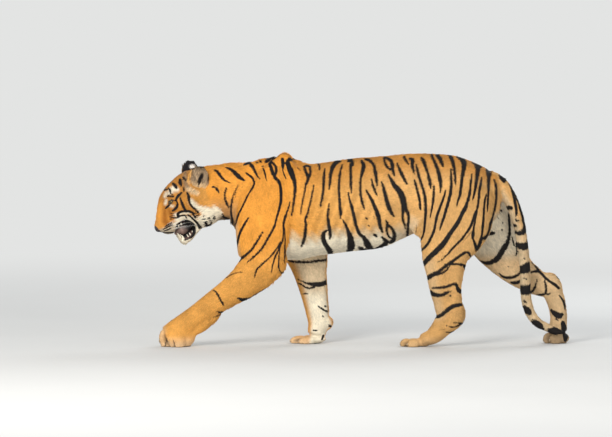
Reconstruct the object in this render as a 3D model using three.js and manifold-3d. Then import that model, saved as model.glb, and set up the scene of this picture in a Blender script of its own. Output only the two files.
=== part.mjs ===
// A walking tigress as a still, life-size model, in millimetres.
// While it is shaped, -X is ahead of the animal, -Y is its left side and the floor is at Z = 0.
// The body is modelled whole, from lofted tubes and oval muscles, and is then parted with thin cuts.
import * as THREE from 'three';
import { LoftGeometry } from 'three/addons/geometries/LoftGeometry.js';
import { mergeVertices } from 'three/addons/utils/BufferGeometryUtils.js';
import Module from 'manifold-3d';

const wasm = await Module();
wasm.setup();
const rad = THREE.MathUtils.degToRad;

// ---------------------------------------------------------------- driving dimensions
const GAP = 0.4;                                  // width of every cut between two pieces
const HEAD = {                                    // the head's own frame: x ahead, y to its left, z up
  origin: [-760, 0, 665],                         // midway between the jaw joints
  pitch: 33, yaw: 18, roll: -4,                   // degrees: nose down, turned and tipped to its left
};
const EYE = { at: [121, 57, 113], radius: 17.5 };
const EAR = { base: [-12, 74, 106], tip: [-73, 106, 196], half: 54, thick: 16, laidBack: 24, sunk: 12 };
const FOREPAW = { length: 170, width: 132, height: 60 };
const HINDPAW = { length: 125, width: 112, height: 51 };

// ---------------------------------------------------------------- solids
/** A closed three.js geometry as a solid that can be joined and cut. */
function solid(geometry, matrix = new THREE.Matrix4()) {
  const bare = geometry.index ? geometry.toNonIndexed() : geometry.clone();
  bare.deleteAttribute('normal');
  bare.deleteAttribute('uv');
  const merged = mergeVertices(bare.applyMatrix4(matrix), 1e-3);
  return new wasm.Manifold(new wasm.Mesh({
    numProp: 3,
    vertProperties: merged.attributes.position.array,
    triVerts: new Uint32Array(merged.index.array),
  }));
}

/**
 * A tube through stations of [x, y, z, half depth, half width]. Each section is an oval across the line
 * through the stations, its width along side. egg widens the underside, ends bulge as domes, and
 * grow adds to every radius.
 */
function tube(stations, { around, along, side = [0, 1, 0], egg = 0, ends = [0.6, 0.6], grow = 0, matrix }) {
  const line = new THREE.CatmullRomCurve3(
    stations.map(([x, y, z]) => new THREE.Vector3(x, y, z)), false, 'centripetal');
  const sizes = new THREE.CatmullRomCurve3(
    stations.map(([, , , depth, width]) => new THREE.Vector3(depth, width, 0)), false, 'centripetal');
  const lateral = new THREE.Vector3(...side).normalize();
  const section = (t, push, shrink) => {
    const tangent = line.getTangent(t);
    const across = lateral.clone().addScaledVector(tangent, -lateral.dot(tangent)).normalize();
    const up = new THREE.Vector3().crossVectors(tangent, across);
    const { x: depth, y: width } = sizes.getPoint(t);
    const centre = line.getPoint(t).addScaledVector(tangent, push * (Math.min(depth, width) + grow));
    return Array.from({ length: around }, (_, i) => {
      const angle = -2 * Math.PI * i / around;
      const half = (width + grow) * (1 - egg * Math.cos(angle));
      return centre.clone()
        .addScaledVector(up, (depth + grow) * Math.cos(angle) * shrink)
        .addScaledVector(across, half * Math.sin(angle) * shrink);
    });
  };
  const dome = (t, end, sines) => sines.map((s) => section(t, end * s, Math.sqrt(1 - s * s)));
  const sections = [
    ...dome(0, -ends[0], ends[0] ? [0.88, 0.5] : []),
    ...Array.from({ length: along + 1 }, (_, i) => section(i / along, 0, 1)),
    ...dome(1, ends[1], ends[1] ? [0.5, 0.88] : []),
  ];
  return solid(new LoftGeometry(sections, { capStart: true, capEnd: true }), matrix);
}

/** An oval mass of muscle or bone: a sphere stretched to its radii and tilted in degrees about Y. */
function mass([x, y, z], [rx, ry, rz], options = {}) {
  const { tilt = 0, matrix = new THREE.Matrix4(), rings = 5, turns = 7 } = options;
  const place = new THREE.Matrix4().makeTranslation(x, y, z)
    .multiply(new THREE.Matrix4().makeRotationY(rad(tilt)))
    .multiply(new THREE.Matrix4().makeScale(rx, ry, rz));
  return solid(new THREE.SphereGeometry(1, turns, rings), matrix.clone().multiply(place));
}

/** A block with one face through a point, all of it on the side that the face's normal points away from. */
function block([x, y, z], [nx, ny, nz], { size = 600, grow = 0, matrix = new THREE.Matrix4() } = {}) {
  const normal = new THREE.Vector3(nx, ny, nz).normalize();
  const centre = new THREE.Vector3(x, y, z).addScaledVector(normal, grow - size / 2);
  const turn = new THREE.Matrix4().makeRotationFromQuaternion(
    new THREE.Quaternion().setFromUnitVectors(new THREE.Vector3(1, 0, 0), normal));
  const place = matrix.clone().multiply(turn.setPosition(centre));
  return solid(new THREE.BoxGeometry(size, size * 2, size * 2), place);
}

const join = (solids) => solids.reduce((a, b) => a.add(b));

// ---------------------------------------------------------------- trunk, neck and tail
const trunkLine = [
  [-548, 0, 654, 196, 104],                       // breast
  [-500, 0, 648, 228, 128],
  [-432, 0, 642, 246, 140],                       // withers
  [-361, 0, 644, 246, 146],
  [-290, 0, 640, 236, 150],
  [-218, 0, 643, 221, 152],                       // ribs
  [-147, 0, 651, 220, 151],
  [-52, 0, 664, 221, 148],
  [43, 0, 674, 221, 142],
  [138, 0, 697, 206, 133],                        // loin
  [233, 0, 719, 191, 127],
  [328, 0, 725, 186, 128],                        // croup
  [423, 0, 723, 180, 136],
  [508, 0, 713, 162, 136],
  [578, 0, 704, 141, 124],
  [622, 0, 702, 116, 102],                        // rump
];
const neckLine = [
  [-800, 4, 722, 108, 92],
  [-731, 0, 720, 133, 106],
  [-670, 0, 727, 134, 104],
  [-608, 0, 730, 140, 112],
  [-530, 0, 711, 173, 122],
  [-440, 0, 693, 193, 126],
];
const tailLine = [
  [600, 0, 774, 56, 53],                          // root
  [652, 0, 757, 50, 47],
  [692, 0, 716, 40, 39],
  [724, 0, 657, 35, 34],
  [748, 0, 587, 32, 31],
  [764, 0, 500, 30, 29],
  [775, 0, 415, 29, 28],
  [781, 0, 335, 28, 27],
  [782, 2, 262, 28, 27],
  [789, 4, 204, 28, 26],
  [807, 6, 149, 27, 25],
  [838, 8, 109, 25, 23],
  [882, 8, 84, 21, 21],
  [920, 8, 66, 19, 19],
  [944, 8, 60, 13, 13],                           // tip
];
const trunk = tube(trunkLine, { around: 15, along: 12, egg: 0.1, ends: [0.36, 0.45] });
const neck = (grow) => tube(neckLine, { around: 12, along: 5, egg: 0.06, ends: [0.3, 0.2], grow });
const tail = tube(tailLine, { around: 8, along: 14, ends: [0.3, 0.8] });

// ---------------------------------------------------------------- legs
// The left legs are on -Y. Each line runs from the top of the limb to the back of its paw.
const leftForeLine = [
  [-376, -62, 860, 50, 30],                       // top of the shoulder blade
  [-408, -92, 780, 92, 48],
  [-448, -112, 680, 122, 62],
  [-466, -126, 580, 132, 68],                     // point of the shoulder
  [-471, -134, 485, 122, 67],
  [-474, -136, 398, 109, 63],                     // elbow
  [-540, -132, 320, 87, 58],
  [-620, -124, 260, 70, 54],
  [-700, -117, 205, 61, 51],
  [-762, -113, 158, 58, 51],                      // wrist
  [-820, -111, 116, 57, 56],
  [-872, -110, 80, 57, 55],
  [-912, -109, 60, 48, 48],                       // knuckles
];
const rightForeLine = [
  [-362, 62, 856, 50, 30],
  [-366, 92, 775, 92, 48],
  [-356, 112, 675, 116, 60],
  [-332, 126, 575, 116, 66],
  [-292, 134, 480, 106, 66],
  [-256, 132, 390, 93, 60],
  [-235, 120, 300, 77, 55],
  [-219, 107, 215, 65, 51],
  [-208, 99, 150, 59, 49],
  [-202, 96, 100, 54, 50],
  [-208, 95, 54, 47, 54],
];
const leftHindLine = [
  [540, -91, 756, 92, 56],                        // hip
  [510, -103, 692, 134, 68],
  [464, -111, 600, 158, 76],
  [418, -114, 512, 150, 75],
  [397, -117, 430, 116, 66],                      // stifle
  [396, -115, 352, 94, 57],
  [398, -112, 282, 80, 50],
  [411, -109, 205, 71, 44],
  [419, -108, 146, 70, 42],                       // hock
  [380, -108, 90, 52, 44],
  [342, -108, 51, 42, 48],
  [296, -108, 33, 31, 50],
];
const rightHindLine = [
  [548, 91, 756, 92, 56],
  [566, 103, 688, 122, 68],
  [594, 111, 597, 124, 76],
  [628, 114, 500, 123, 72],
  [681, 114, 421, 105, 61],
  [750, 110, 347, 82, 52],
  [832, 105, 292, 65, 46],
  [901, 101, 258, 54, 42],
  [929, 99, 200, 47, 39],
  [942, 98, 130, 44, 40],
  [941, 97, 70, 46, 46],
];
const leg = (line, along) => tube(line, { around: 9, along, ends: [0.5, 0.5] });
const legs = [leg(leftForeLine, 10), leg(rightForeLine, 9), leg(leftHindLine, 10), leg(rightHindLine, 10)];

/** The muscles and pads that stand out from the limbs and trunk. */
const muscles = [
  mass([-383, -66, 806], [60, 40, 114], { tilt: 14 }),         // crests of the shoulder blades
  mass([-366, 66, 804], [60, 40, 112], { tilt: 4 }),
  mass([-404, -136, 389], [44, 46, 58], { tilt: 30 }),         // points of the elbows
  mass([-203, 130, 398], [38, 42, 56], { tilt: 10 }),
  mass([440, -110, 148], [44, 38, 56], { tilt: 20 }),          // heels
  mass([907, 102, 286], [40, 38, 50], { tilt: -30 }),
  mass([340, -96, 600], [124, 36, 84], { tilt: -18 }),         // folds of skin from flank to stifle
  mass([386, 92, 610], [124, 36, 80], { tilt: -18 }),
  mass([-161, 96, 98], [32, 28, 38]),                          // wrist pads
  mass([-733, -113, 118], [96, 36, 34], { tilt: -40 }),
];

/** A paw whose toes end at x, pointing along -X turned by yaw degrees: a palm and four toes. */
function paw([x, y], { length, width, height }, { yaw = 0, rise = 1 } = {}) {
  const place = new THREE.Matrix4().makeTranslation(x, y, 0)
    .multiply(new THREE.Matrix4().makeRotationZ(rad(yaw)));
  const tall = height * rise;
  const toes = [-1.5, -0.5, 0.5, 1.5].map((step) => {
    const inner = Math.abs(step) < 1;
    return mass([length * (inner ? 0.25 : 0.5), step * width * 0.235, tall * 0.44],
      [length * 0.25, width * 0.155, tall * 0.6], { tilt: -6, matrix: place, rings: 4, turns: 6 });
  });
  const palm = mass([length * 0.6, 0, tall * 0.46], [length * 0.43, width * 0.4, tall * 0.6],
    { tilt: -4, matrix: place });
  return join([palm, ...toes]);
}
const paws = [
  paw([-958, -109], FOREPAW, { yaw: 2, rise: 1.5 }),
  paw([-338, 96], FOREPAW, { yaw: -3, rise: 0.6 }),
  paw([184, -108], HINDPAW, { yaw: 2, rise: 0.75 }),
  paw([869, 98], HINDPAW, { yaw: -4 }),
];

// ---------------------------------------------------------------- head
const headFrame = new THREE.Matrix4().makeRotationFromEuler(
  new THREE.Euler(rad(HEAD.roll), rad(HEAD.pitch), rad(180 + HEAD.yaw), 'ZYX')).setPosition(...HEAD.origin);
const inHead = { matrix: headFrame };

/** A station of the head from its place ahead, its top, bottom and half width. */
const slice = (x, top, bottom, half) => [x, 0, (top + bottom) / 2, (top - bottom) / 2, half];
const skullLine = [
  slice(-66, 140, -60, 84),                       // nape
  slice(-30, 170, -72, 102),
  slice(10, 183, -74, 114),                       // crown
  slice(50, 181, -66, 116),                       // cheekbones
  slice(88, 173, -52, 102),
  slice(118, 158, -40, 84),                       // brow
  slice(148, 132, -30, 68),
  slice(178, 103, -22, 58),                       // bridge of the nose
  slice(208, 78, -14, 52),
  slice(230, 62, 0, 42),
  slice(241, 52, 12, 32),
];
const jawLine = [
  slice(0, -14, -76, 72),
  slice(50, -38, -87, 64),
  slice(100, -54, -102, 54),
  slice(140, -62, -114, 47),
  slice(167, -62, -115, 40),                      // chin
];
const tongueLine = [
  slice(100, -22, -74, 26),
  slice(122, -20, -74, 30),
  slice(144, -20, -70, 27),
  slice(163, -25, -62, 16),
  slice(174, -34, -54, 10),
];
const skull = (grow) => tube(skullLine, {
  around: 13, along: 9, egg: 0.08, ends: [0.3, 0.35], grow, ...inHead,
});
const jaw = tube(jawLine, { around: 9, along: 4, ends: [0.3, 0.45], ...inHead });
const mouth = mass([143, 0, -43], [47, 140, 47], { rings: 7, turns: 8, ...inHead });
const tongue = (grow) => tube(tongueLine, { around: 8, along: 3, ends: [0.6, 1], grow, ...inHead });
const nose = (grow) => mass([238, 0, 28], [12 + grow, 26 + grow, 19 + grow],
  { tilt: -20, turns: 9, ...inHead });

const face = [1, -1].flatMap((s) => [
  mass([200, s * 31, 5], [42, 34, 29], { tilt: -30, ...inHead }),              // whisker pads
  mass([20, s * 74, -24], [84, 46, 61], { tilt: -12, ...inHead }),             // ruffs
]);

const gums = [
  mass([152, 0, 0], [68, 40, 23], { ...inHead }),                            // palate and upper gums
  mass([132, 0, -84], [50, 34, 20], { ...inHead }),                          // lower gums
  mass([169, 0, -66], [10, 31, 17], { ...inHead }),                          // lip of the chin
];

/** An ear, left for s = 1, laid back and sunk by distances: a round shell with a hollow facing outward. */
function ear(s, back, sunk) {
  const mirror = (v) => [v.x, s * v.y, v.z];
  const base = new THREE.Vector3(...EAR.base);
  const tip = new THREE.Vector3(...EAR.tip);
  base.x -= back;
  tip.x -= back;
  tip.z -= sunk;
  const facing = new THREE.Vector3(0.36, 0.9, -0.08).normalize();
  const upward = tip.clone().sub(base).normalize();
  const across = new THREE.Vector3().crossVectors(facing, upward).normalize();
  const shares = [[-0.15, 0.8, 1.5], [0.15, 0.96, 1.3], [0.45, 1, 1], [0.7, 0.86, 0.8], [0.9, 0.52, 0.6]];
  const stations = shares.map(([t, wide, deep]) => [
    ...mirror(base.clone().lerp(tip, t)), EAR.thick * deep, EAR.half * wide]);
  const shell = tube(stations, { around: 10, along: 4, side: mirror(across), ends: [0.2, 0.7], ...inHead });
  const cupAt = base.clone().lerp(tip, 0.48).addScaledVector(facing, 18);
  const axes = new THREE.Matrix4().makeBasis(
    new THREE.Vector3(...mirror(across)).multiplyScalar(s),
    new THREE.Vector3(...mirror(facing)),
    new THREE.Vector3(...mirror(upward)));
  const place = headFrame.clone()
    .multiply(new THREE.Matrix4().makeTranslation(...mirror(cupAt)))
    .multiply(axes)
    .multiply(new THREE.Matrix4().makeScale(43, 21, 54));
  const cup = solid(new THREE.SphereGeometry(1, 9, 5), place);
  return shell.subtract(cup).subtract(skull(GAP)).subtract(neck(GAP));
}

const eye = (s, grow) => mass([EYE.at[0], s * EYE.at[1], EYE.at[2]],
  Array(3).fill(EYE.radius + grow), { rings: 5, turns: 8, ...inHead });

/** A canine tooth: a bent cone from inside the gum, up or down by drop to its tip. */
function canine([x, y, z], drop, lean, grow) {
  const stations = [[x - lean, y, z, 8, 7], [x, y * 0.98, z + drop * 0.45, 6.5, 5.5],
    [x - lean * 0.3, y * 0.94, z + drop, 2, 2]];
  return tube(stations, { around: 5, along: 2, ends: [0, 1], grow, ...inHead });
}

// Every piece of the mouth and eyes can be grown by the gap, to cut its own seat.
const features = {
  nose,
  tongue,
  eye_left: (grow) => eye(1, grow),
  eye_right: (grow) => eye(-1, grow),
  canine_upper_left: (grow) => canine([196, 25, -2], -28, 6, grow),
  canine_upper_right: (grow) => canine([196, -25, -2], -28, 6, grow),
  canine_lower_left: (grow) => canine([163, 24, -90], 34, -8, grow),
  canine_lower_right: (grow) => canine([163, -24, -90], 34, -8, grow),
};

// ---------------------------------------------------------------- the whole body
const floor = block([0, 0, 0], [0, 0, 1], { size: 1200 });
const whole = join([trunk, neck(0), tail, ...legs, ...muscles, ...paws, skull(0), jaw, ...face])
  .subtract(mouth).add(join(gums)).subtract(floor);
const flesh = Object.values(features).reduce((body, feature) => body.subtract(feature(GAP)), whole);

// ---------------------------------------------------------------- parting
/** What lies on the inner side of every plane; a plane is a point and the normal that points out of it. */
const region = (planes, grow) => planes
  .map(([point, normal, frame]) => block(point, normal, { size: 1500, grow, ...frame }))
  .reduce((a, b) => a.intersect(b));

const left = (y) => [[0, -y, 0], [0, 1, 0]];
const right = (y) => [[0, y, 0], [0, -1, 0]];
const ahead = (x) => [[x, 0, 0], [1, 0, 0]];
const behind = (x) => [[x, 0, 0], [-1, 0, 0]];
const below = (z) => [[0, 0, z], [0, 0, 1]];

// The pieces in the order in which they are taken off; the planes across a limb point up the limb.
const regions = {
  forepaw_left: [[[-775, 0, 150], [0.8, 0, 0.6]], left(20), below(300)],
  forearm_left: [[[-470, 0, 372], [0.45, 0, 0.89]], left(20), ahead(-300), below(460)],
  upper_arm_left: [left(60), behind(-606), ahead(-300)],
  forepaw_right: [[[-209, 0, 118], [0, 0, 1]], right(20), ahead(0)],
  forearm_right: [[[-262, 0, 385], [-0.15, 0, 0.99]], right(20), ahead(0)],
  upper_arm_right: [right(60), behind(-470), ahead(-150)],
  hind_foot_left: [[[425, 0, 172], [-0.1, 0, 1]], left(34), ahead(560)],
  shank_left: [[[402, 0, 395], [0, 0, 1]], left(34), ahead(620)],
  thigh_left: [[[350, 0, 670], [-0.94, 0, 0.35]], [[600, 0, 760], [0.5, 0, 0.87]], left(34), below(790)],
  hind_foot_right: [[[900, 0, 262], [-0.7, 0, 0.7]], right(34), behind(800)],
  shank_right: [[[640, 0, 440], [-0.58, 0, 0.81]], right(34), behind(500)],
  thigh_right: [[[410, 0, 710], [-0.98, 0, 0.2]], [[600, 0, 760], [0.5, 0, 0.87]], right(34), below(790)],
  tail_tip: [[[826, 0, 138], [-0.7, 0, 0.7]], behind(668), below(300)],
  tail_end: [[[790, 0, 300], [0, 0, 1]], behind(668)],
  tail_mid: [[[770, 0, 460], [-0.2, 0, 0.98]], behind(668)],
  tail_base: [[[716, 0, 655], [-0.4, 0, 0.92]], behind(678)],
  lower_jaw: [[[110, 0, -54], [-0.15, 0, 0.99], inHead], [[24, 0, 0], [-1, 0, 0], inHead],
    [[0, 66, 0], [0, 1, 0], inHead], [[0, -66, 0], [0, -1, 0], inHead]],
  head: [[[-48, 0, 0], [-1, 0, 0.1], inHead], ahead(-640)],
  neck: [ahead(-592)],
  chest: [ahead(-130)],
  abdomen: [ahead(235)],
};

const pieces = { ear_left: ear(1, 0, 0), ear_right: ear(-1, EAR.laidBack, EAR.sunk) };
for (const [name, feature] of Object.entries(features)) pieces[name] = feature(0);
let rest = flesh;
for (const [name, planes] of Object.entries(regions)) {
  pieces[name] = rest.intersect(region(planes, 0));
  rest = rest.subtract(region(planes, GAP));
}
pieces.pelvis = rest;

// ---------------------------------------------------------------- materials and the model
const COAT = { color: 0xd0883a, roughness: 0.85 };
const FINISHES = {
  eye: { color: 0x9a6a1c, roughness: 0.1 },
  nose: { color: 0x5a3530, roughness: 0.45 },
  tongue: { color: 0xb8636b, roughness: 0.4 },
  canine: { color: 0xe9dfc4, roughness: 0.3 },
};

/** A solid as a mesh of its own. */
function piece(name, body) {
  const { vertProperties, triVerts } = body.getMesh();
  const geometry = new THREE.BufferGeometry();
  geometry.setAttribute('position', new THREE.BufferAttribute(vertProperties, 3));
  geometry.setIndex(new THREE.BufferAttribute(triVerts, 1));
  const finish = FINISHES[name.split('_')[0]] ?? COAT;
  const mesh = new THREE.Mesh(geometry, new THREE.MeshStandardMaterial(finish));
  mesh.name = name;
  return mesh;
}

const tiger = new THREE.Group();
for (const [name, body] of Object.entries(pieces)) tiger.add(piece(name, body));

// The origin is on the floor, under the middle of the body's box.
const middle = new THREE.Box3().setFromObject(tiger).getCenter(new THREE.Vector3());
tiger.position.set(-middle.x, -middle.y, 0);

export default tiger;
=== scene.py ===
"""A walking Bengal tigress as a life-size museum model: skin, coat, eyes, mouth and claws.

Shapes are worked out in the tiger's own millimetres, where -X is ahead of it, -Y is its left side
and the floor is Z = 0. place() moves them into the frame's metres.
"""

import math

import bmesh
import bpy
import numpy as np
import openvdb
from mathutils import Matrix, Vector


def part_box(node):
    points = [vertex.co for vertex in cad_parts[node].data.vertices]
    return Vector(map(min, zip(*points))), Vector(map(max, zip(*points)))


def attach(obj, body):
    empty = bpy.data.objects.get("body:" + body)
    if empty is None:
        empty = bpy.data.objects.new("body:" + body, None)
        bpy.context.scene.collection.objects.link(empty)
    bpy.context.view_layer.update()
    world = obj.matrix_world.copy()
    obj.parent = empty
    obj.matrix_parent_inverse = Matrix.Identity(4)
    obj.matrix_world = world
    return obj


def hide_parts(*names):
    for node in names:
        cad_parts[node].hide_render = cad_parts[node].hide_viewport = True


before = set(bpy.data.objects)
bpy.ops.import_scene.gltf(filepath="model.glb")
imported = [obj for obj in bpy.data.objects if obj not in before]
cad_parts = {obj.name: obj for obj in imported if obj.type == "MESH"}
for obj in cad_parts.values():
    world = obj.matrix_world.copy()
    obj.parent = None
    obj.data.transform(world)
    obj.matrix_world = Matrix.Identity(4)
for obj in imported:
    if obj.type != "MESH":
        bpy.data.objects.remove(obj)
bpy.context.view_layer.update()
rng = np.random.default_rng(11)

# ---------------- the tiger's own frame
NECK_CUT = -591.6  # where the chest piece starts, in the tiger's millimetres
chest_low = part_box("chest")[0]
tail_low, tail_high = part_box("tail_base")
SHIFT = np.array([chest_low.x * 1000 - NECK_CUT, (tail_low.y + tail_high.y) * 500, 0.0])


def place(points):
    """The tiger's millimetres as the frame's metres."""
    return (np.asarray(points, float) + SHIFT) * 0.001


def turn(x=0.0, y=0.0, z=0.0):
    """Rotation matrix: about X first, then Y, then Z, all in degrees."""
    cx, cy, cz = np.cos(np.radians([x, y, z]))
    sx, sy, sz = np.sin(np.radians([x, y, z]))
    about_x = np.array([[1, 0, 0], [0, cx, -sx], [0, sx, cx]])
    about_y = np.array([[cy, 0, sy], [0, 1, 0], [-sy, 0, cy]])
    about_z = np.array([[cz, -sz, 0], [sz, cz, 0], [0, 0, 1]])
    return about_z @ about_y @ about_x


class Axes:
    """A place and its three directions; the body's own are the world's."""

    def __init__(self, origin=(0, 0, 0), matrix=None):
        self.origin = np.array(origin, float)
        self.matrix = np.eye(3) if matrix is None else matrix

    def out(self, local):
        return self.origin + np.asarray(local, float) @ self.matrix.T

    def into(self, points):
        return (points - self.origin) @ self.matrix


BODY = Axes()
HEAD = Axes((-760, 0, 665), turn(-4, 33, 198))  # x ahead, y to its left, z up
EYE = {"at": (121, 57, 113), "radius": 17.5}
EAR = {"base": (-12, 74, 106), "tip": (-73, 106, 196), "half": 54, "thick": 16, "laid_back": 24, "sunk": 12}


def unit(v):
    """Vectors divided by their lengths."""
    v = np.asarray(v, float)
    return v / np.maximum(np.linalg.norm(v, axis=-1, keepdims=True), 1e-9)


def smooth(low, high, value):
    """0 below low, 1 above high and an S-curve between; low may be the larger."""
    s = np.clip((value - low) / (high - low), 0, 1)
    return s * s * (3 - 2 * s)


# ---------------- solids as fields
FAR_OFF = 400.0  # a field's value away from every shape


def curve(knots, t):
    """Centripetal Catmull-Rom curve through the rows of knots at the knot numbers t."""
    knots = np.asarray(knots, float)
    whole = np.clip(np.floor(t).astype(int), 0, len(knots) - 2)
    share = (t - whole)[:, None]
    padded = np.vstack([2 * knots[0] - knots[1], knots, 2 * knots[-1] - knots[-2]])
    p0, p1, p2, p3 = (padded[whole + i] for i in range(4))
    pairs = ((p0, p1), (p1, p2), (p2, p3))
    d0, d1, d2 = (np.sqrt(np.linalg.norm(b - a, axis=1, keepdims=True)) for a, b in pairs)
    d1 = np.where(d1 < 1e-4, 1, d1)
    d0 = np.where(d0 < 1e-4, d1, d0)
    d2 = np.where(d2 < 1e-4, d1, d2)
    start = ((p1 - p0) / d0 - (p2 - p0) / (d0 + d1) + (p2 - p1) / d1) * d1
    stop = ((p2 - p1) / d1 - (p3 - p1) / (d1 + d2) + (p3 - p2) / d2) * d1
    return (p1 + start * share + (3 * (p2 - p1) - 2 * start - stop) * share ** 2
            + (2 * (p1 - p2) + start + stop) * share ** 3)


def knot_numbers(knots, step):
    """Knot numbers spaced so that the curve through the knots advances about step at a time."""
    lengths = np.linalg.norm(np.diff(np.asarray(knots, float), axis=0), axis=1)
    counts = np.maximum(np.ceil(lengths / step).astype(int), 1)
    parts = [i + np.arange(n) / n for i, n in enumerate(counts)]
    return np.concatenate(parts + [[len(counts)]])


class Tube:
    """An oval tube through stations of (x, y, z, half depth, half width).

    egg widens its underside, and ends are the lengths of its domes in shares of its radius.
    """

    def __init__(self, stations, side=(0, 1, 0), egg=0.0, ends=(0.4, 0.4), axes=BODY, step=9.0):
        stations = np.array(stations, float)
        self.t = knot_numbers(stations[:, :3], step)
        centre = curve(stations[:, :3], self.t)
        self.depth, self.width = curve(stations[:, 3:], self.t).T
        tangent = unit(np.gradient(centre, self.t, axis=0))
        side = unit(side)
        across = unit(side - (tangent @ side)[:, None] * tangent)
        up = np.cross(tangent, across)
        self.speed = np.linalg.norm(np.gradient(centre, self.t, axis=0), axis=1)
        self.centre = axes.out(centre)
        self.tangent, self.across, self.up = (v @ axes.matrix.T for v in (tangent, across, up))
        self.egg, self.ends = egg, ends
        reach = np.maximum(self.depth, self.width)[:, None]
        self.low, self.high = (self.centre - reach).min(0), (self.centre + reach).max(0)

    def section(self, points):
        """For each point: its knot number, its nearest sample, and its place across, up and past the ends."""
        near = np.empty(len(points), int)
        square = (self.centre ** 2).sum(1)
        for start in range(0, len(points), 100000):
            some = slice(start, start + 100000)
            near[some] = np.argmin(square - 2 * points[some] @ self.centre.T, axis=1)
        away = points - self.centre[near]
        along = (away * self.tangent[near]).sum(1)
        t = np.clip(self.t[near] + along / self.speed[near], 0, self.t[-1])
        past = np.where(near == 0, np.minimum(along, 0), 0)
        past = np.where(near == len(self.t) - 1, np.maximum(along, 0), past)
        return t, near, (away * self.across[near]).sum(1), (away * self.up[near]).sum(1), past

    def value(self, points):
        """About the distance in millimetres to the tube, negative inside it.

        With q the length of the offset in radii and g that of the offset in squared radii, it is q(q - 1)/g.
        """
        t, _, across, up, past = self.section(points)
        depth, width = np.interp(t, self.t, self.depth), np.interp(t, self.t, self.width)
        width = width * (1 - self.egg * np.clip(up / depth, -1, 1))
        dome = np.maximum(np.where(past < 0, self.ends[0], self.ends[1]) * np.minimum(depth, width), 3)
        q = np.sqrt((across / width) ** 2 + (up / depth) ** 2 + (past / dome) ** 2)
        g = np.sqrt((across / width ** 2) ** 2 + (up / depth ** 2) ** 2 + (past / dome ** 2) ** 2)
        return q * (q - 1) / np.maximum(g, 1e-7)


class Oval:
    """An ellipsoid with its radii, tilted in degrees about its frame's Y."""

    def __init__(self, centre, radii, tilt=0.0, axes=BODY, matrix=None):
        self.centre = axes.out(centre)
        self.radii = np.array(radii, float)
        self.matrix = axes.matrix @ (turn(y=tilt) if matrix is None else matrix)
        reach = np.sqrt((self.matrix ** 2) @ (self.radii ** 2))
        self.low, self.high = self.centre - reach, self.centre + reach

    def value(self, points):
        local = (points - self.centre) @ self.matrix
        q = np.linalg.norm(local / self.radii, axis=1)
        return q * (q - 1) / np.maximum(np.linalg.norm(local / self.radii ** 2, axis=1), 1e-7)


def merge(a, b, blend):
    """The smaller of two fields, rounded where they meet over the blend's length."""
    share = np.maximum(blend - np.abs(a - b), 0) / max(blend, 1e-6)
    return np.minimum(a, b) - share * share * blend / 4


def joined(points, shapes, start=None):
    """Field of all shapes together; shapes are (shape, blend), and each is worked out only near itself."""
    value = np.full(len(points), FAR_OFF) if start is None else start
    for shape, blend in shapes:
        margin = blend + 24
        near = np.flatnonzero(np.all((points > shape.low - margin) & (points < shape.high + margin), axis=1))
        value[near] = merge(value[near], shape.value(points[near]), blend)
    return value


# ---------------- stations of the body
TRUNK_LINE = (
    (-548, 0, 654, 196, 104),  # breast
    (-500, 0, 648, 228, 128),
    (-432, 0, 642, 246, 140),  # withers
    (-361, 0, 644, 246, 146),
    (-290, 0, 640, 236, 150),
    (-218, 0, 643, 221, 152),  # ribs
    (-147, 0, 651, 220, 151),
    (-52, 0, 664, 221, 148),
    (43, 0, 674, 221, 142),
    (138, 0, 697, 206, 133),  # loin
    (233, 0, 719, 191, 127),
    (328, 0, 725, 186, 128),  # croup
    (423, 0, 723, 180, 136),
    (508, 0, 713, 162, 136),
    (578, 0, 704, 141, 124),
    (622, 0, 702, 116, 102),  # rump
)
NECK_LINE = (
    (-800, 4, 722, 108, 92),
    (-731, 0, 720, 133, 106),
    (-670, 0, 727, 134, 104),
    (-608, 0, 730, 140, 112),
    (-530, 0, 711, 173, 122),
    (-440, 0, 693, 193, 126),
)
TAIL_LINE = (
    (600, 0, 774, 56, 53),  # root
    (652, 0, 757, 50, 47),
    (692, 0, 716, 40, 39),
    (724, 0, 657, 35, 34),
    (748, 0, 587, 32, 31),
    (764, 0, 500, 30, 29),
    (775, 0, 415, 29, 28),
    (781, 0, 335, 28, 27),
    (782, 2, 262, 28, 27),
    (789, 4, 204, 28, 26),
    (807, 6, 149, 27, 25),
    (838, 8, 109, 25, 23),
    (882, 8, 84, 21, 21),
    (920, 8, 66, 19, 19),
    (944, 8, 60, 13, 13),  # tip
)
LEFT_FORE_LINE = (
    (-376, -62, 860, 50, 30),  # top of the shoulder blade
    (-408, -92, 780, 92, 48),
    (-448, -112, 680, 122, 62),
    (-466, -126, 580, 132, 68),  # point of the shoulder
    (-471, -134, 485, 122, 67),
    (-474, -136, 398, 109, 63),  # elbow
    (-540, -132, 320, 87, 58),
    (-620, -124, 260, 70, 54),
    (-700, -117, 205, 61, 51),
    (-762, -113, 158, 58, 51),  # wrist
    (-820, -111, 116, 57, 56),
    (-872, -110, 80, 57, 55),
    (-912, -109, 60, 48, 48),  # knuckles
)
RIGHT_FORE_LINE = (
    (-362, 62, 856, 50, 30),
    (-366, 92, 775, 92, 48),
    (-356, 112, 675, 116, 60),
    (-332, 126, 575, 116, 66),
    (-292, 134, 480, 106, 66),
    (-256, 132, 390, 93, 60),
    (-235, 120, 300, 77, 55),
    (-219, 107, 215, 65, 51),
    (-208, 99, 150, 59, 49),
    (-202, 96, 100, 54, 50),
    (-208, 95, 54, 47, 54),
)
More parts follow.
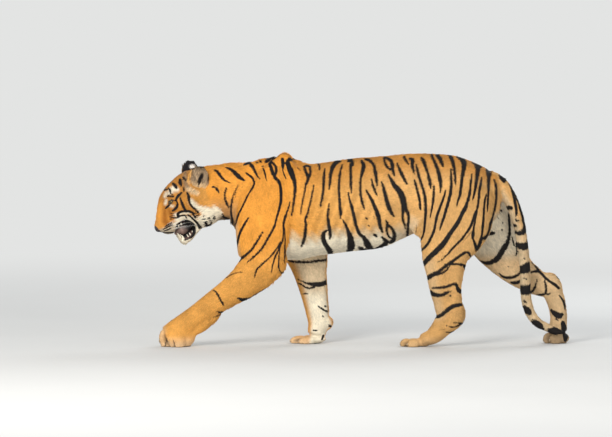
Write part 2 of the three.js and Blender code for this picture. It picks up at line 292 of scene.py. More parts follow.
LEFT_HIND_LINE = (
    (540, -91, 756, 92, 56),  # hip
    (510, -103, 692, 134, 68),
    (464, -111, 600, 158, 76),
    (418, -114, 512, 150, 75),
    (397, -117, 430, 116, 66),  # stifle
    (396, -115, 352, 94, 57),
    (398, -112, 282, 80, 50),
    (411, -109, 205, 71, 44),
    (419, -108, 146, 70, 42),  # hock
    (380, -108, 90, 52, 44),
    (342, -108, 51, 42, 48),
    (296, -108, 33, 31, 50),
)
RIGHT_HIND_LINE = (
    (548, 91, 756, 92, 56),
    (566, 103, 688, 122, 68),
    (594, 111, 597, 124, 76),
    (628, 114, 500, 123, 72),
    (681, 114, 421, 105, 61),
    (750, 110, 347, 82, 52),
    (832, 105, 292, 65, 46),
    (901, 101, 258, 54, 42),
    (929, 99, 200, 47, 39),
    (942, 98, 130, 44, 40),
    (941, 97, 70, 46, 46),
)


def slices(*rows):
    """Stations of the head from (place ahead, top, bottom, half width)."""
    return [(x, 0, (top + bottom) / 2, (top - bottom) / 2, half) for x, top, bottom, half in rows]


SKULL_LINE = slices(
    (-66, 140, -60, 84), (-30, 170, -72, 102),  # nape
    (10, 183, -74, 114), (50, 181, -66, 116),  # crown and cheekbones
    (88, 173, -52, 102), (118, 158, -40, 84),  # brow
    (148, 132, -30, 68), (178, 103, -22, 58),  # bridge of the nose
    (208, 78, -14, 52), (230, 62, 0, 42), (241, 52, 12, 32))
JAW_LINE = slices(
    (0, -14, -76, 72), (50, -38, -87, 64), (100, -54, -102, 54),
    (140, -62, -114, 47), (167, -62, -115, 40))  # chin
TONGUE_LINE = slices(
    (100, -22, -74, 26), (122, -20, -74, 30), (144, -20, -70, 27), (163, -25, -62, 16), (174, -34, -54, 10))

trunk = Tube(TRUNK_LINE, egg=0.1, ends=(0.36, 0.45))
neck = Tube(NECK_LINE, egg=0.06, ends=(0.3, 0.2))
tail = Tube(TAIL_LINE, ends=(0.3, 0.8), step=6)
LEGS = {
    "foreleg_left": Tube(LEFT_FORE_LINE, ends=(0.5, 0.5)),
    "foreleg_right": Tube(RIGHT_FORE_LINE, ends=(0.5, 0.5)),
    "hindleg_left": Tube(LEFT_HIND_LINE, ends=(0.5, 0.5)),
    "hindleg_right": Tube(RIGHT_HIND_LINE, ends=(0.5, 0.5)),
}
skull = Tube(SKULL_LINE, egg=0.08, ends=(0.3, 0.35), axes=HEAD, step=5)
jaw = Tube(JAW_LINE, ends=(0.3, 0.45), axes=HEAD, step=5)
mouth = Oval((143, 0, -43), (47, 140, 47), axes=HEAD)
palate = Oval((152, 0, 0), (68, 40, 23), axes=HEAD)
lower_gum = Oval((132, 0, -84), (48, 34, 20), axes=HEAD)
lower_lip = Oval((169, 0, -66), (10, 31, 17), axes=HEAD)

MUSCLES = [
    Oval((-383, -66, 806), (60, 40, 114), 14),  # crests of the shoulder blades
    Oval((-366, 66, 804), (60, 40, 112), 4),
    Oval((-404, -136, 389), (44, 46, 58), 30),  # points of the elbows
    Oval((-203, 130, 398), (38, 42, 56), 10),
    Oval((440, -110, 148), (44, 38, 56), 20),  # heels
    Oval((907, 102, 286), (40, 38, 50), -30),
    Oval((340, -96, 600), (124, 36, 84), -18),  # folds of skin from flank to stifle
    Oval((386, 92, 610), (124, 36, 80), -18),
    Oval((-161, 96, 98), (32, 28, 38)),  # wrist pads
    Oval((-733, -113, 118), (96, 36, 34), -40),
]
FACE = [
    (Oval((200, s * 31, 5), (42, 34, 29), -30, axes=HEAD), 10) for s in (1, -1)  # whisker pads
] + [
    (Oval((20, s * 74, -24), (84, 46, 61), -12, axes=HEAD), 22) for s in (1, -1)  # ruffs
] + [
    (Oval((112, s * 42, 131), (26, 19, 15), 30, axes=HEAD), 14) for s in (1, -1)  # brows
] + [
    (Oval((EYE["at"][0], s * EYE["at"][1], EYE["at"][2]), (20.5, 20.5, 20.5), axes=HEAD), 7) for s in (1, -1)
]

FOREPAW = {"length": 170, "width": 132, "height": 60}
HINDPAW = {"length": 125, "width": 112, "height": 51}
PAWS = {
    "foreleg_left": ((-958, -109), FOREPAW, 2, 1.5),
    "foreleg_right": ((-338, 96), FOREPAW, -3, 0.6),
    "hindleg_left": ((184, -108), HINDPAW, 2, 0.75),
    "hindleg_right": ((869, 98), HINDPAW, -4, 1.0),
}
TOE_STEPS = (-1.5, -0.5, 0.5, 1.5)
TOE_PITCH = 0.235  # from toe to toe, in widths of the paw


def paw_axes(limb):
    """Axes of a paw: its origin on the floor before the toes, turned by its yaw."""
    (x, y), _, yaw, _ = PAWS[limb]
    return Axes((x, y, 0), turn(z=yaw))


def paw(limb):
    """A palm and four toes; the toes end near the paw's origin and point along its -X."""
    _, size, _, rise = PAWS[limb]
    length, width, tall = size["length"], size["width"], size["height"] * rise
    axes = paw_axes(limb)
    shapes = [(Oval((length * 0.6, 0, tall * 0.46), (length * 0.43, width * 0.4, tall * 0.6), -4, axes), 22)]
    for step in TOE_STEPS:
        ahead = 0.25 if abs(step) < 1 else 0.5
        toe = Oval((length * ahead, step * width * TOE_PITCH, tall * 0.44),
                   (length * 0.25, width * 0.155, tall * 0.6), -6, axes)
        shapes.append((toe, 5))
    return shapes


def ear(side):
    """The shell of an ear and the cup in it, left for side 1; the right one is laid back."""
    base, tip = np.array(EAR["base"], float), np.array(EAR["tip"], float)
    if side < 0:
        base[0] -= EAR["laid_back"]
        tip[[0, 2]] -= EAR["laid_back"], EAR["sunk"]
    flip = np.array([1, side, 1])
    facing, upward = unit((0.36, 0.9, -0.08)), unit(tip - base)
    across = unit(np.cross(facing, upward))
    shares = ((-0.15, 0.8, 1.5), (0.15, 0.96, 1.3), (0.45, 1, 1), (0.7, 0.86, 0.8), (0.9, 0.52, 0.6))
    stations = [(*(flip * (base + (tip - base) * t)), EAR["thick"] * deep, EAR["half"] * wide)
                for t, wide, deep in shares]
    shell = Tube(stations, side=flip * across, ends=(0.2, 0.7), axes=HEAD, step=4)
    cup_axes = np.stack([flip * across, flip * facing, flip * upward], axis=1)
    cup = Oval(flip * (base + (tip - base) * 0.48 + facing * 18), (44, 22, 55), axes=HEAD, matrix=cup_axes)
    return shell, cup, flip * upward


EARS = {"left": ear(1), "right": ear(-1)}
GAZE = unit((0.80, 0.54, 0.26))


def eye_centre(side):
    """Middle of the globe in the head's frame, for side 1 at left or -1 at right."""
    x, y, z = EYE["at"]
    return np.array([x, side * y, z], float)


def eye_slit(side):
    """The opening between the lids: an oval before the globe, its long axis tipped a little from level."""
    gaze = GAZE * (1, side, 1)
    level = unit(np.cross((0, 0, 1), gaze) + (0, 0, 0.2 * side))
    level = unit(level - gaze * (level @ gaze))
    slit_axes = np.stack([level, gaze, np.cross(level, gaze)], axis=1)
    return Oval(eye_centre(side) + gaze * 16, (13.6, 15, 5.8), axes=HEAD, matrix=slit_axes)


EYE_SLITS = {side: eye_slit(side) for side in (1, -1)}

SKIN_SHAPES = [(trunk, 0), (neck, 36), (tail, 26)]
SKIN_SHAPES += [(leg, 40) for leg in LEGS.values()]
SKIN_SHAPES += [(muscle, 30) for muscle in MUSCLES[:8]] + [(muscle, 12) for muscle in MUSCLES[8:]]
SKIN_SHAPES += [(skull, 22), (jaw, 14)] + FACE
SKIN_SHAPES += [shape for limb in PAWS for shape in paw(limb)]
EAR_SHAPES = [(shell, 12) for shell, _, _ in EARS.values()]

# Bulges (positive) and hollows (negative) of the muscles: centre, spread, height in millimetres.
RELIEF = (
    ((-300, 150, 590), (34, 70, 150), -9),  # behind the shoulder
    ((-392, 118, 770), (22, 50, 100), 6),  # spine of the shoulder blade
    ((-516, 130, 640), (26, 60, 120), -7),  # before the shoulder
    ((-476, 190, 560), (44, 60, 60), 5),  # point of the shoulder
    ((-385, 190, 460), (44, 60, 60), 6),  # triceps
    ((-330, 190, 520), (22, 60, 60), -6),
    ((216, 130, 640), (60, 60, 90), -10),  # hollow of the flank
    ((300, 130, 800), (60, 60, 40), -5),
    ((400, 110, 870), (40, 50, 30), 5),  # point of the hip
    ((560, 150, 640), (50, 60, 100), 5),  # back of the thigh
    ((470, 190, 560), (60, 60, 80), 5),  # thigh
    ((300, 130, 540), (30, 60, 60), -5),
    ((0, 0, 900), (500, 16, 40), 3),  # ridge of the spine
    ((-884, 172, 6), (8, 26, 24), -14),  # behind the outer toe of the left forepaw
    ((-908, 172, 40), (20, 30, 26), 6),
    ((-850, 172, 30), (24, 30, 26), 6),
)
RIBS = {"start": -270, "stop": 90, "spacing": 46, "height": 1.6}


def relief(points):
    """Height added to the skin: bell-shaped bulges and hollows on both sides, and faint ribs."""
    x, y, z = points[:, 0], np.abs(points[:, 1]), points[:, 2]
    height = np.zeros(len(points))
    for (cx, cy, cz), (sx, sy, sz), rise in RELIEF:
        height += rise * np.exp(-(((x - cx) / sx) ** 2 + ((y - cy) / sy) ** 2 + ((z - cz) / sz) ** 2))
    chest = smooth(RIBS["start"] - 40, RIBS["start"] + 40, x)
    chest *= smooth(RIBS["stop"] + 60, RIBS["stop"] - 60, x)
    chest *= smooth(470, 560, z) * smooth(800, 700, z) * smooth(90, 120, y)
    return height + chest * RIBS["height"] * np.sin(2 * np.pi * (x - 0.35 * (z - 600)) / RIBS["spacing"])


def cleft(points):
    """How deep in the creases between the toes each point lies, from 0 to 1."""
    depth = np.zeros(len(points))
    for limb, (_, size, _, rise) in PAWS.items():
        local = paw_axes(limb).into(points)
        ahead, aside = local[:, 0] / size["length"], local[:, 1] / (size["width"] * TOE_PITCH)
        bend = aside * (1 + 0.1 * smooth(0.3, 0.8, ahead))
        near = np.min([np.abs(bend - step) for step in (-1, 0, 1)], axis=0) * size["width"] * TOE_PITCH
        crease = smooth(4.2, 0.8, near) * smooth(0.62, 0.36, ahead) * smooth(-0.2, 0.02, ahead)
        crease *= smooth(0.95, 0.55, local[:, 2] / (size["height"] * rise))
        depth = np.maximum(depth, crease)
    return depth


def coat_depth(points):
    """How far the skin lies inside the coat's outline: less on the face and paws, nothing on the soles."""
    from_head = np.linalg.norm(points - HEAD.out((60, 0, 40)), axis=1)
    depth = 6 - 3 * smooth(230, 180, from_head) - 2.6 * smooth(120, 60, points[:, 2])
    for side in (1, -1):
        depth *= 0.2 + 0.8 * smooth(19, 30, np.linalg.norm(points - HEAD.out(eye_centre(side)), axis=1))
    return depth * smooth(0, 14, points[:, 2]) + 4.5 * cleft(points)


def flesh_value(points):
    """The body before its openings are cut."""
    return joined(points, SKIN_SHAPES)


def skin_value(points):
    """Field of the whole skin: flesh with relief and ears, inset by the coat's depth, less its openings."""
    value = flesh_value(points) - relief(points)
    value = joined(points, EAR_SHAPES, value) + coat_depth(points)
    openings = [(mouth, 6)] + [(slit, 3) for slit in EYE_SLITS.values()]
    openings += [(cup, 4) for _, cup, _ in EARS.values()]
    for shape, blend in openings:
        near = np.flatnonzero(np.all((points > shape.low - 30) & (points < shape.high + 30), axis=1))
        value[near] = -merge(-value[near], shape.value(points[near]), blend)
    value = joined(points, [(palate, 4), (lower_gum, 4), (lower_lip, 4)], value)
    return np.maximum(value, 0.4 - points[:, 2])


# ---------------- meshes from fields
def polygonize(value, low, high, voxel):
    """Points and quads of the surface where the field is 0, from a grid of the given spacing."""
    low = np.asarray(low, float)
    counts = np.ceil((np.asarray(high) - low) / voxel).astype(int) + 1
    steps = [low[i] + voxel * np.arange(counts[i]) for i in range(3)]
    samples = np.empty(counts, np.float32)
    layers = max(1, int(400000 / (counts[1] * counts[2])))
    for start in range(0, counts[0], layers):
        slab = steps[0][start:start + layers]
        grid = np.stack(np.meshgrid(slab, steps[1], steps[2], indexing="ij"), axis=-1)
        samples[start:start + layers] = value(grid.reshape(-1, 3)).reshape(grid.shape[:3])
    volume = openvdb.FloatGrid(FAR_OFF)
    volume.copyFromArray(samples)
    volume.transform = openvdb.createLinearTransform(voxelSize=voxel)
    points, _, quads = volume.convertToPolygons(isovalue=0.0, adaptivity=0.0)
    return points.astype(float) + low, quads.astype(int)


def slope(points, value, width=1.5):
    """Gradient of a field by central differences."""
    grads = np.empty((len(points), 3))
    for axis in range(3):
        offset = np.zeros(3)
        offset[axis] = width
        grads[:, axis] = (value(points + offset) - value(points - offset)) / (2 * width)
    return grads


def settle(points, value, rounds=2):
    """Points moved onto the field's surface by Newton steps along its slope, and their normals."""
    for _ in range(rounds):
        grads = slope(points, value)
        size = np.maximum(np.linalg.norm(grads, axis=1), 0.3)
        move = np.clip(value(points) / size, -4, 4)
        points = points - (move / size)[:, None] * grads
    return points, unit(slope(points, value))


def outward(points, faces):
    """Faces turned so that the volume they enclose is positive."""
    a, b, c = (points[faces[:, i]] for i in range(3))
    volume = np.einsum("ij,ij->i", a, np.cross(b, c)).sum()
    return faces if volume > 0 else faces[:, ::-1]


# ---------------- stripes
# Every stripe is a line of (x, z, half width) in millimetres, drawn on the side of the body or limb it names.
NECK_STRIPES = (
    ((-697, 832, 4), (-684, 829, 6), (-674, 817, 7), (-662, 801, 7), (-650, 789, 5), (-622, 776, 2)),
    ((-642, 845, 3), (-620, 838, 6), (-600, 824, 9), (-582, 807, 10), (-566, 794, 7), (-551, 787, 3)),
    ((-545, 821, 4), (-530, 811, 5), (-515, 798, 5), (-505, 777, 4.5), (-514, 754, 4.5), (-530, 730, 4),
     (-545, 701, 4), (-562, 664, 4), (-577, 635, 4), (-588, 603, 4), (-597, 567, 2)),
    ((-521, 856, 9), (-512, 845, 7), (-502, 826, 6), (-490, 808, 4), (-479, 796, 2)),
    ((-463, 843, 4), (-456, 824, 4), (-450, 802, 3), (-446, 788, 2)),
    ((-556, 858, 3), (-540, 864, 6), (-527, 868, 5)),
    ((-640, 751, 4), (-645, 725, 5), (-644, 700, 5), (-637, 679, 5.5), (-627, 660, 4)),
    ((-706, 755, 3), (-700, 757, 5), (-692, 755, 3)),
    ((-689, 751, 4), (-681, 743, 6), (-674, 729, 3)),
    ((-581, 766, 2), (-596, 738, 3), (-606, 714, 3.5), (-612, 690, 5), (-616, 660, 5), (-616, 630, 5),
     (-611, 603, 5), (-607, 584, 4)),
    ((-672, 642, 3), (-660, 624, 5), (-649, 611, 6), (-634, 602, 5), (-622, 588, 4), (-610, 580, 5)),
    ((-684, 622, 3), (-676, 612, 4), (-668, 603, 3)),
    ((-478, 874, 5), (-474, 870, 3)), ((-497, 868, 3), (-488, 868, 2)), ((-470, 853, 3), (-462, 853, 2)),
)
SHOULDER_STRIPES = (
    ((-452, 872, 6), (-438, 881, 9), (-420, 890, 8), (-402, 900, 5)),
    ((-436, 876, 8), (-427, 850, 8), (-418, 825, 8), (-404, 800, 8), (-389, 785, 7), (-381, 755, 7),
     (-379, 720, 7), (-380, 690, 6.5), (-387, 660, 6), (-399, 620, 5), (-411, 575, 5), (-428, 542, 5.5),
     (-447, 510, 5), (-462, 483, 5), (-484, 455, 4.5), (-510, 430, 4), (-538, 404, 2.5)),
    ((-424, 874, 6), (-408, 860, 6), (-401, 842, 6), (-405, 820, 6)),
    ((-372, 890, 6), (-370, 872, 9), (-371, 853, 6), (-371, 842, 3)),
    ((-371, 838, 2), (-365, 818, 3), (-356, 799, 2)),
    ((-356, 868, 5), (-345, 882, 9), (-330, 889, 10), (-310, 889, 5)),
    ((-348, 878, 9), (-343, 855, 11), (-334, 832, 13), (-325, 808, 12), (-317, 785, 9), (-314, 755, 8),
     (-315, 725, 7), (-319, 690, 6), (-324, 658, 5), (-330, 626, 3)),
    ((-337, 690, 2.5), (-344, 662, 4), (-353, 634, 5), (-363, 605, 6), (-368, 580, 4.5), (-368, 545, 3.5),
     (-371, 515, 3.5), (-382, 485, 4), (-396, 455, 4), (-411, 420, 4), (-420, 385, 3), (-424, 356, 2)),
    ((-364, 575, 2), (-361, 530, 2.5), (-362, 480, 3), (-363, 430, 3), (-366, 400, 2)),
    ((-382, 500, 3.5), (-402, 468, 4), (-432, 430, 4), (-462, 403, 4), (-488, 378, 4.5), (-500, 354, 4),
     (-502, 333, 2)),
    ((-384, 488, 2), (-388, 440, 3), (-390, 405, 3.5), (-388, 372, 3), (-381, 355, 4), (-376, 351, 5)),
    ((-465, 549, 3), (-479, 527, 5), (-494, 502, 5), (-509, 478, 5.5), (-527, 456, 5.5), (-548, 437, 6),
     (-565, 424, 7), (-578, 410, 6)),
    ((-533, 615, 3), (-546, 594, 5), (-560, 570, 5.5), (-573, 542, 5.5), (-581, 515, 5), (-586, 490, 4),
     (-588, 470, 3)),
)
FLANK_STRIPES = (
    ((-270, 849, 6), (-261, 822, 7), (-252, 800, 8), (-262, 768, 5.5), (-268, 738, 4.5), (-276, 700, 4),
     (-283, 662, 3.5), (-288, 627, 2)),
    ((-244, 847, 6), (-241, 826, 6.5), (-247, 803, 6)),
    ((-272, 850, 4), (-255, 853, 4), (-241, 848, 4)),
    ((-226, 765, 3), (-231, 730, 4), (-238, 698, 4.5), (-247, 660, 4.5), (-257, 625, 5), (-265, 603, 6),
     (-262, 583, 6), (-264, 555, 7.5), (-268, 522, 8), (-275, 497, 7), (-284, 474, 4)),
    ((-200, 858, 6), (-199, 845, 5), (-198, 836, 3)),
    ((-172, 839, 3.5), (-176, 812, 6), (-178, 780, 6.5), (-180, 742, 6.5), (-185, 708, 6), (-191, 683, 5.5),
     (-193, 666, 3)),
    ((-150, 749, 4), (-149, 775, 6), (-146, 802, 8), (-141, 832, 9), (-133, 852, 10), (-118, 866, 8),
     (-98, 873, 4)),
    ((-90, 858, 3.5), (-96, 838, 4.5), (-102, 812, 6), (-105, 780, 6.5), (-106, 740, 6.5), (-103, 700, 6.5),
     (-100, 660, 7), (-98, 633, 7.5), (-98, 615, 4)),
    ((-152, 680, 3), (-156, 650, 5.5), (-159, 620, 6), (-155, 588, 8), (-150, 558, 9), (-147, 532, 7),
     (-148, 511, 3)),
    ((-163, 553, 5), (-177, 540, 9), (-180, 515, 11), (-172, 490, 12), (-158, 466, 12), (-146, 447, 14),
     (-142, 430, 9)),
    ((-62, 876, 6), (-46, 876, 9), (-40, 860, 7)),
    ((-50, 860, 7), (-50, 822, 7), (-50, 790, 7), (-49, 757, 6), (-47, 728, 2)),
    ((-60, 732, 3), (-56, 700, 5), (-50, 680, 6), (-42, 650, 7), (-33, 615, 8), (-26, 580, 8),
     (-16, 553, 8), (-4, 530, 8), (10, 520, 9), (22, 500, 13), (32, 478, 16), (46, 463, 12)),
    ((-88, 604, 3), (-76, 582, 6), (-63, 550, 9), (-53, 520, 14), (-50, 495, 18), (-49, 468, 18),
     (-56, 450, 12)),
    ((2, 875, 6), (10, 862, 10), (8, 836, 9), (-2, 800, 6), (-5, 760, 6), (-3, 720, 6), (3, 690, 6),
     (10, 667, 5), (16, 650, 2)),
    ((18, 884, 4), (42, 877, 7), (56, 862, 7), (65, 835, 8), (70, 802, 8), (75, 764, 4)),
    ((47, 794, 3), (55, 766, 5.5), (65, 738, 6), (73, 720, 3)),
    ((23, 742, 3), (35, 722, 6), (50, 696, 8), (62, 666, 9), (75, 636, 10), (84, 603, 10), (88, 577, 9),
     (95, 556, 7), (101, 543, 4)),
    ((96, 781, 3.5), (104, 757, 7), (113, 722, 9), (121, 690, 10), (131, 660, 10), (143, 634, 8),
     (156, 618, 4)),
    ((108, 886, 5), (113, 866, 7), (123, 850, 6.5), (137, 838, 5)),
    ((112, 891, 5), (138, 881, 8), (146, 862, 10), (148, 838, 8), (156, 811, 4)),
    ((129, 814, 5), (141, 791, 8), (156, 766, 11), (172, 748, 13), (188, 724, 15), (196, 700, 16),
     (203, 670, 14), (213, 646, 9), (222, 630, 7.5), (224, 600, 7), (221, 560, 7), (219, 525, 7)),
    ((196, 668, 9), (195, 632, 7), (197, 602, 6), (204, 578, 5), (209, 559, 3)),
    ((170, 866, 4), (180, 842, 7), (193, 815, 8), (205, 790, 7), (216, 772, 4)),
    ((204, 894, 6), (211, 880, 6.5), (224, 863, 4)),
    ((228, 888, 4), (243, 881, 10), (242, 861, 9), (246, 840, 6), (251, 818, 3)),
    ((260, 859, 4), (266, 836, 6), (273, 806, 7), (283, 775, 7), (293, 745, 7), (300, 715, 7),
     (304, 680, 7), (305, 640, 7), (303, 600, 6), (299, 560, 5), (293, 530, 4), (279, 499, 3)),
    ((252, 790, 4), (260, 760, 6), (268, 730, 6), (275, 700, 6), (278, 672, 7), (280, 653, 5)),
    ((114, 601, 3), (122, 588, 6), (120, 560, 6), (124, 535, 5), (134, 517, 5), (146, 512, 4)),
    ((122, 580, 6), (140, 566, 7), (152, 546, 8), (157, 520, 10), (150, 500, 11), (140, 492, 7)),
    ((60, 533, 5), (67, 528, 7), (73, 521, 4)),
    ((98, 520, 5), (110, 505, 8), (122, 492, 11), (108, 478, 12), (85, 463, 11), (62, 454, 8)),
    ((-10, 470, 5), (4, 458, 11), (22, 452, 9)),
    ((28, 607, 3), (24, 611, 4)), ((38, 572, 3), (34, 575, 3)),
)
HAUNCH_STRIPES = (
    ((286, 889, 7), (294, 878, 10), (304, 855, 8), (313, 826, 6), (321, 795, 8), (327, 768, 8),
     (329, 753, 4)),
    ((344, 762, 5), (343, 738, 6), (341, 702, 6), (336, 666, 5), (331, 638, 3.5), (326, 614, 2)),
    ((334, 902, 6), (343, 882, 7), (355, 857, 8), (365, 828, 9), (372, 797, 10), (376, 766, 7),
     (374, 733, 3)),
    ((360, 902, 8), (374, 886, 10), (382, 866, 8), (386, 854, 4)),
    ((420, 900, 7), (430, 882, 10), (438, 852, 8), (443, 817, 6), (445, 784, 5), (446, 763, 2)),
    ((424, 842, 3), (425, 805, 6), (426, 762, 7), (420, 722, 7), (412, 690, 7), (402, 656, 7),
     (393, 625, 6.5), (383, 595, 6), (371, 558, 3)),
    ((399, 743, 3), (391, 712, 5), (379, 680, 6), (366, 646, 6), (356, 614, 6), (350, 580, 6),
     (343, 551, 6), (330, 520, 6), (315, 492, 6), (300, 473, 6), (284, 457, 5)),
    ((456, 894, 5), (474, 884, 9), (487, 868, 13), (485, 842, 11), (477, 802, 8), (472, 760, 7),
     (466, 720, 6), (456, 692, 5), (451, 668, 2)),
    ((524, 817, 3), (519, 782, 5), (515, 745, 6), (508, 710, 7), (498, 680, 7), (484, 650, 9),
     (470, 622, 9), (455, 592, 10), (435, 562, 10), (416, 536, 10), (400, 510, 12), (380, 484, 13),
     (356, 459, 13), (330, 434, 12), (310, 412, 11), (296, 394, 10)),
    ((500, 680, 5), (497, 662, 4), (494, 646, 2)),
    ((528, 870, 5), (545, 862, 8), (566, 849, 7)),
    ((542, 862, 8), (552, 842, 12), (549, 812, 10), (544, 780, 8), (538, 745, 6), (531, 714, 4.5),
     (526, 698, 2)),
    ((571, 802, 3), (565, 772, 6), (558, 736, 6), (555, 700, 6), (550, 666, 5), (545, 641, 5),
     (540, 612, 4.5), (534, 582, 4.5), (530, 553, 6), (528, 535, 8), (527, 518, 5), (535, 500, 6),
     (541, 480, 7), (543, 460, 6)),
    ((539, 647, 3), (531, 617, 5.5), (520, 583, 6), (505, 556, 5.5), (486, 530, 5.5), (465, 505, 6),
     (440, 480, 6), (419, 456, 5), (400, 435, 3.5), (380, 416, 2.5), (358, 404, 1.5)),
    ((597, 840, 7), (605, 826, 15), (604, 803, 10), (602, 770, 8), (602, 740, 6), (600, 710, 5),
     (598, 680, 5), (596, 643, 2)),
    ((593, 727, 2), (586, 702, 5), (581, 667, 5), (579, 632, 5), (577, 600, 6), (573, 562, 6),
     (570, 531, 5), (564, 505, 8), (556, 482, 7), (546, 462, 7)),
    ((630, 790, 3), (637, 763, 6), (639, 727, 6.5), (638, 690, 6), (632, 656, 6), (622, 621, 5),
     (612, 591, 6), (605, 561, 5), (596, 533, 5), (580, 514, 9)),
    ((661, 802, 6), (674, 787, 11), (682, 762, 8), (684, 737, 6), (688, 710, 5)),
)
HINDLEG_STRIPES = (
    ((516, 425, 4), (512, 443, 6), (500, 452, 6), (480, 445, 7), (456, 427, 7), (432, 411, 8),
     (410, 395, 7), (390, 380, 7), (370, 364, 8), (350, 351, 9), (330, 339, 11), (314, 327, 10)),
    ((418, 388, 3), (406, 371, 4.5), (386, 356, 5), (356, 345, 6)),
    ((398, 394, 4), (430, 396, 5.5), (462, 394, 5.5), (484, 388, 7), (492, 372, 6), (490, 347, 3)),
    ((336, 281, 4), (368, 283, 6), (400, 287, 7), (428, 297, 7), (446, 300, 7), (453, 287, 7),
     (460, 270, 9), (472, 258, 8)),
    ((330, 258, 12), (345, 250, 11), (370, 247, 9), (394, 253, 8), (412, 262, 5.5), (426, 266, 2)),
    ((350, 142, 7), (373, 147, 9), (390, 161, 8), (410, 178, 10), (434, 194, 10), (458, 199, 9),
     (480, 200, 5)),
    ((404, 101, 2), (436, 95, 3.5), (462, 103, 4), (481, 114, 3)), ((438, 117, 2), (470, 113, 3.5)),
    ((400, 72, 2), (425, 68, 3), (440, 74, 2)), ((420, 246, 4), (424, 243, 3)),
)
FORELEG_STRIPES = (
    ((-697, 269, 3), (-686, 262, 4.5), (-670, 236, 5), (-654, 206, 4.5), (-648, 197, 2)),
    ((-682, 171, 2), (-667, 165, 5), (-650, 164, 6.5), (-630, 169, 5), (-611, 176, 3)),
    ((-582, 236, 4), (-571, 228, 8), (-550, 224, 11), (-529, 228, 9), (-508, 236, 5)),
    ((-407, 310, 7), (-394, 313, 10), (-384, 318, 6)),
    ((-377, 352, 5), (-372, 349, 4)),
)
FAINT_MARKS = (
    ((-560, 358, 3), (-585, 355, 4), (-610, 346, 4), (-637, 328, 3)),
    ((-400, 302, 5), (-440, 281, 7), (-480, 260, 7), (-515, 241, 6)),
    ((-700, 140, 4), (-670, 152, 5), (-640, 160, 5)),
    ((262, 577, 2), (260, 545, 2.5), (258, 528, 2)), ((57, 620, 3), (62, 612, 3)),
    ((522, 552, 2), (502, 526, 2.5), (478, 499, 2)),
    ((-560, 776, 2), (-564, 753, 2.5)), ((-576, 650, 1.5), (-588, 620, 2), (-595, 596, 1.5)),
    ((-592, 732, 2), (-600, 702, 3)), ((-300, 845, 5), (-290, 832, 4)),
    ((-766, 652, 3), (-752, 652, 4), (-742, 648, 2)), ((395, 85, 2), (372, 82, 2)),
    # painted shade in the gaps between the toes of the left forepaw
    ((-882, 4, 6), (-886, 24, 4), (-892, 44, 2)), ((-928, 4, 5), (-924, 22, 4), (-918, 44, 2)),
)
FACE_STRIPES = (
    ((-891, 769, 6), (-884, 763, 9), (-876, 753, 7)),
    ((-858, 788, 6), (-857, 776, 9), (-853, 763, 5)),
    ((-846, 801, 3), (-838, 793, 6), (-831, 788, 4)),
    ((-842, 755, 4), (-840, 746, 5), (-839, 737, 3)),
    ((-912, 747, 4), (-905, 741, 5), (-903, 730, 3)), ((-932, 738, 3), (-920, 743, 3)),
    ((-917, 713, 3), (-906, 714, 4.5), (-895, 712, 5), (-888, 712, 3)), ((-904, 725, 2), (-893, 723, 3)),
    ((-850, 731, 4), (-858, 723, 6), (-868, 712, 7), (-876, 699, 5), (-873, 689, 4), (-869, 677, 5),
     (-872, 664, 7), (-880, 654, 6), (-893, 644, 4)),
    ((-897, 697, 4), (-884, 694, 4), (-876, 692, 4)), ((-906, 674, 4), (-916, 664, 5), (-926, 655, 3)),
    ((-934, 548, 2), (-920, 553, 2.8), (-902, 561, 2.8)), ((-942, 541, 2), (-916, 540, 3), (-890, 541, 3)),
    ((-938, 556, 2), (-924, 563, 3), (-910, 571, 3.4), (-896, 578, 3)),
    ((-930, 568, 2), (-916, 577, 3), (-898, 587, 3)),
    ((-857, 706, 3), (-852, 691, 5), (-846, 676, 7), (-840, 662, 7), (-833, 649, 6), (-828, 641, 5)),
    ((-824, 729, 5), (-818, 716, 7), (-816, 701, 7), (-812, 685, 5), (-805, 670, 5), (-794, 659, 5),
     (-783, 650, 5), (-774, 639, 5), (-768, 627, 4)),
    ((-866, 616, 7), (-868, 629, 7), (-856, 639, 6), (-835, 643, 5), (-812, 642, 6), (-799, 636, 6),
     (-790, 626, 8), (-784, 616, 8)),
    ((-858, 619, 4), (-842, 622, 4), (-829, 620, 3)), ((-820, 624, 4), (-806, 616, 4), (-800, 606, 3)),
    ((-836, 624, 3), (-827, 609, 3)),
    ((-800, 612, 3), (-790, 600, 5), (-778, 588, 6), (-770, 574, 6), (-768, 558, 4)),
    ((-907, 616, 2), (-890, 611, 3), (-872, 610, 3.5)), ((-905, 605, 2.5), (-898, 604, 2)),
    ((-902, 631, 1.6), (-884, 629, 1.6)), ((-898, 622, 1.6), (-882, 620, 1.6)),
    ((-760, 570, 6), (-756, 560, 7)), ((-736, 590, 8), (-729, 577, 9), (-722, 568, 6)),
    ((-722, 612, 3), (-712, 592, 5), (-713, 574, 5)), ((-700, 622, 3), (-694, 606, 4)),
    ((-748, 622, 2), (-742, 604, 4)),
)
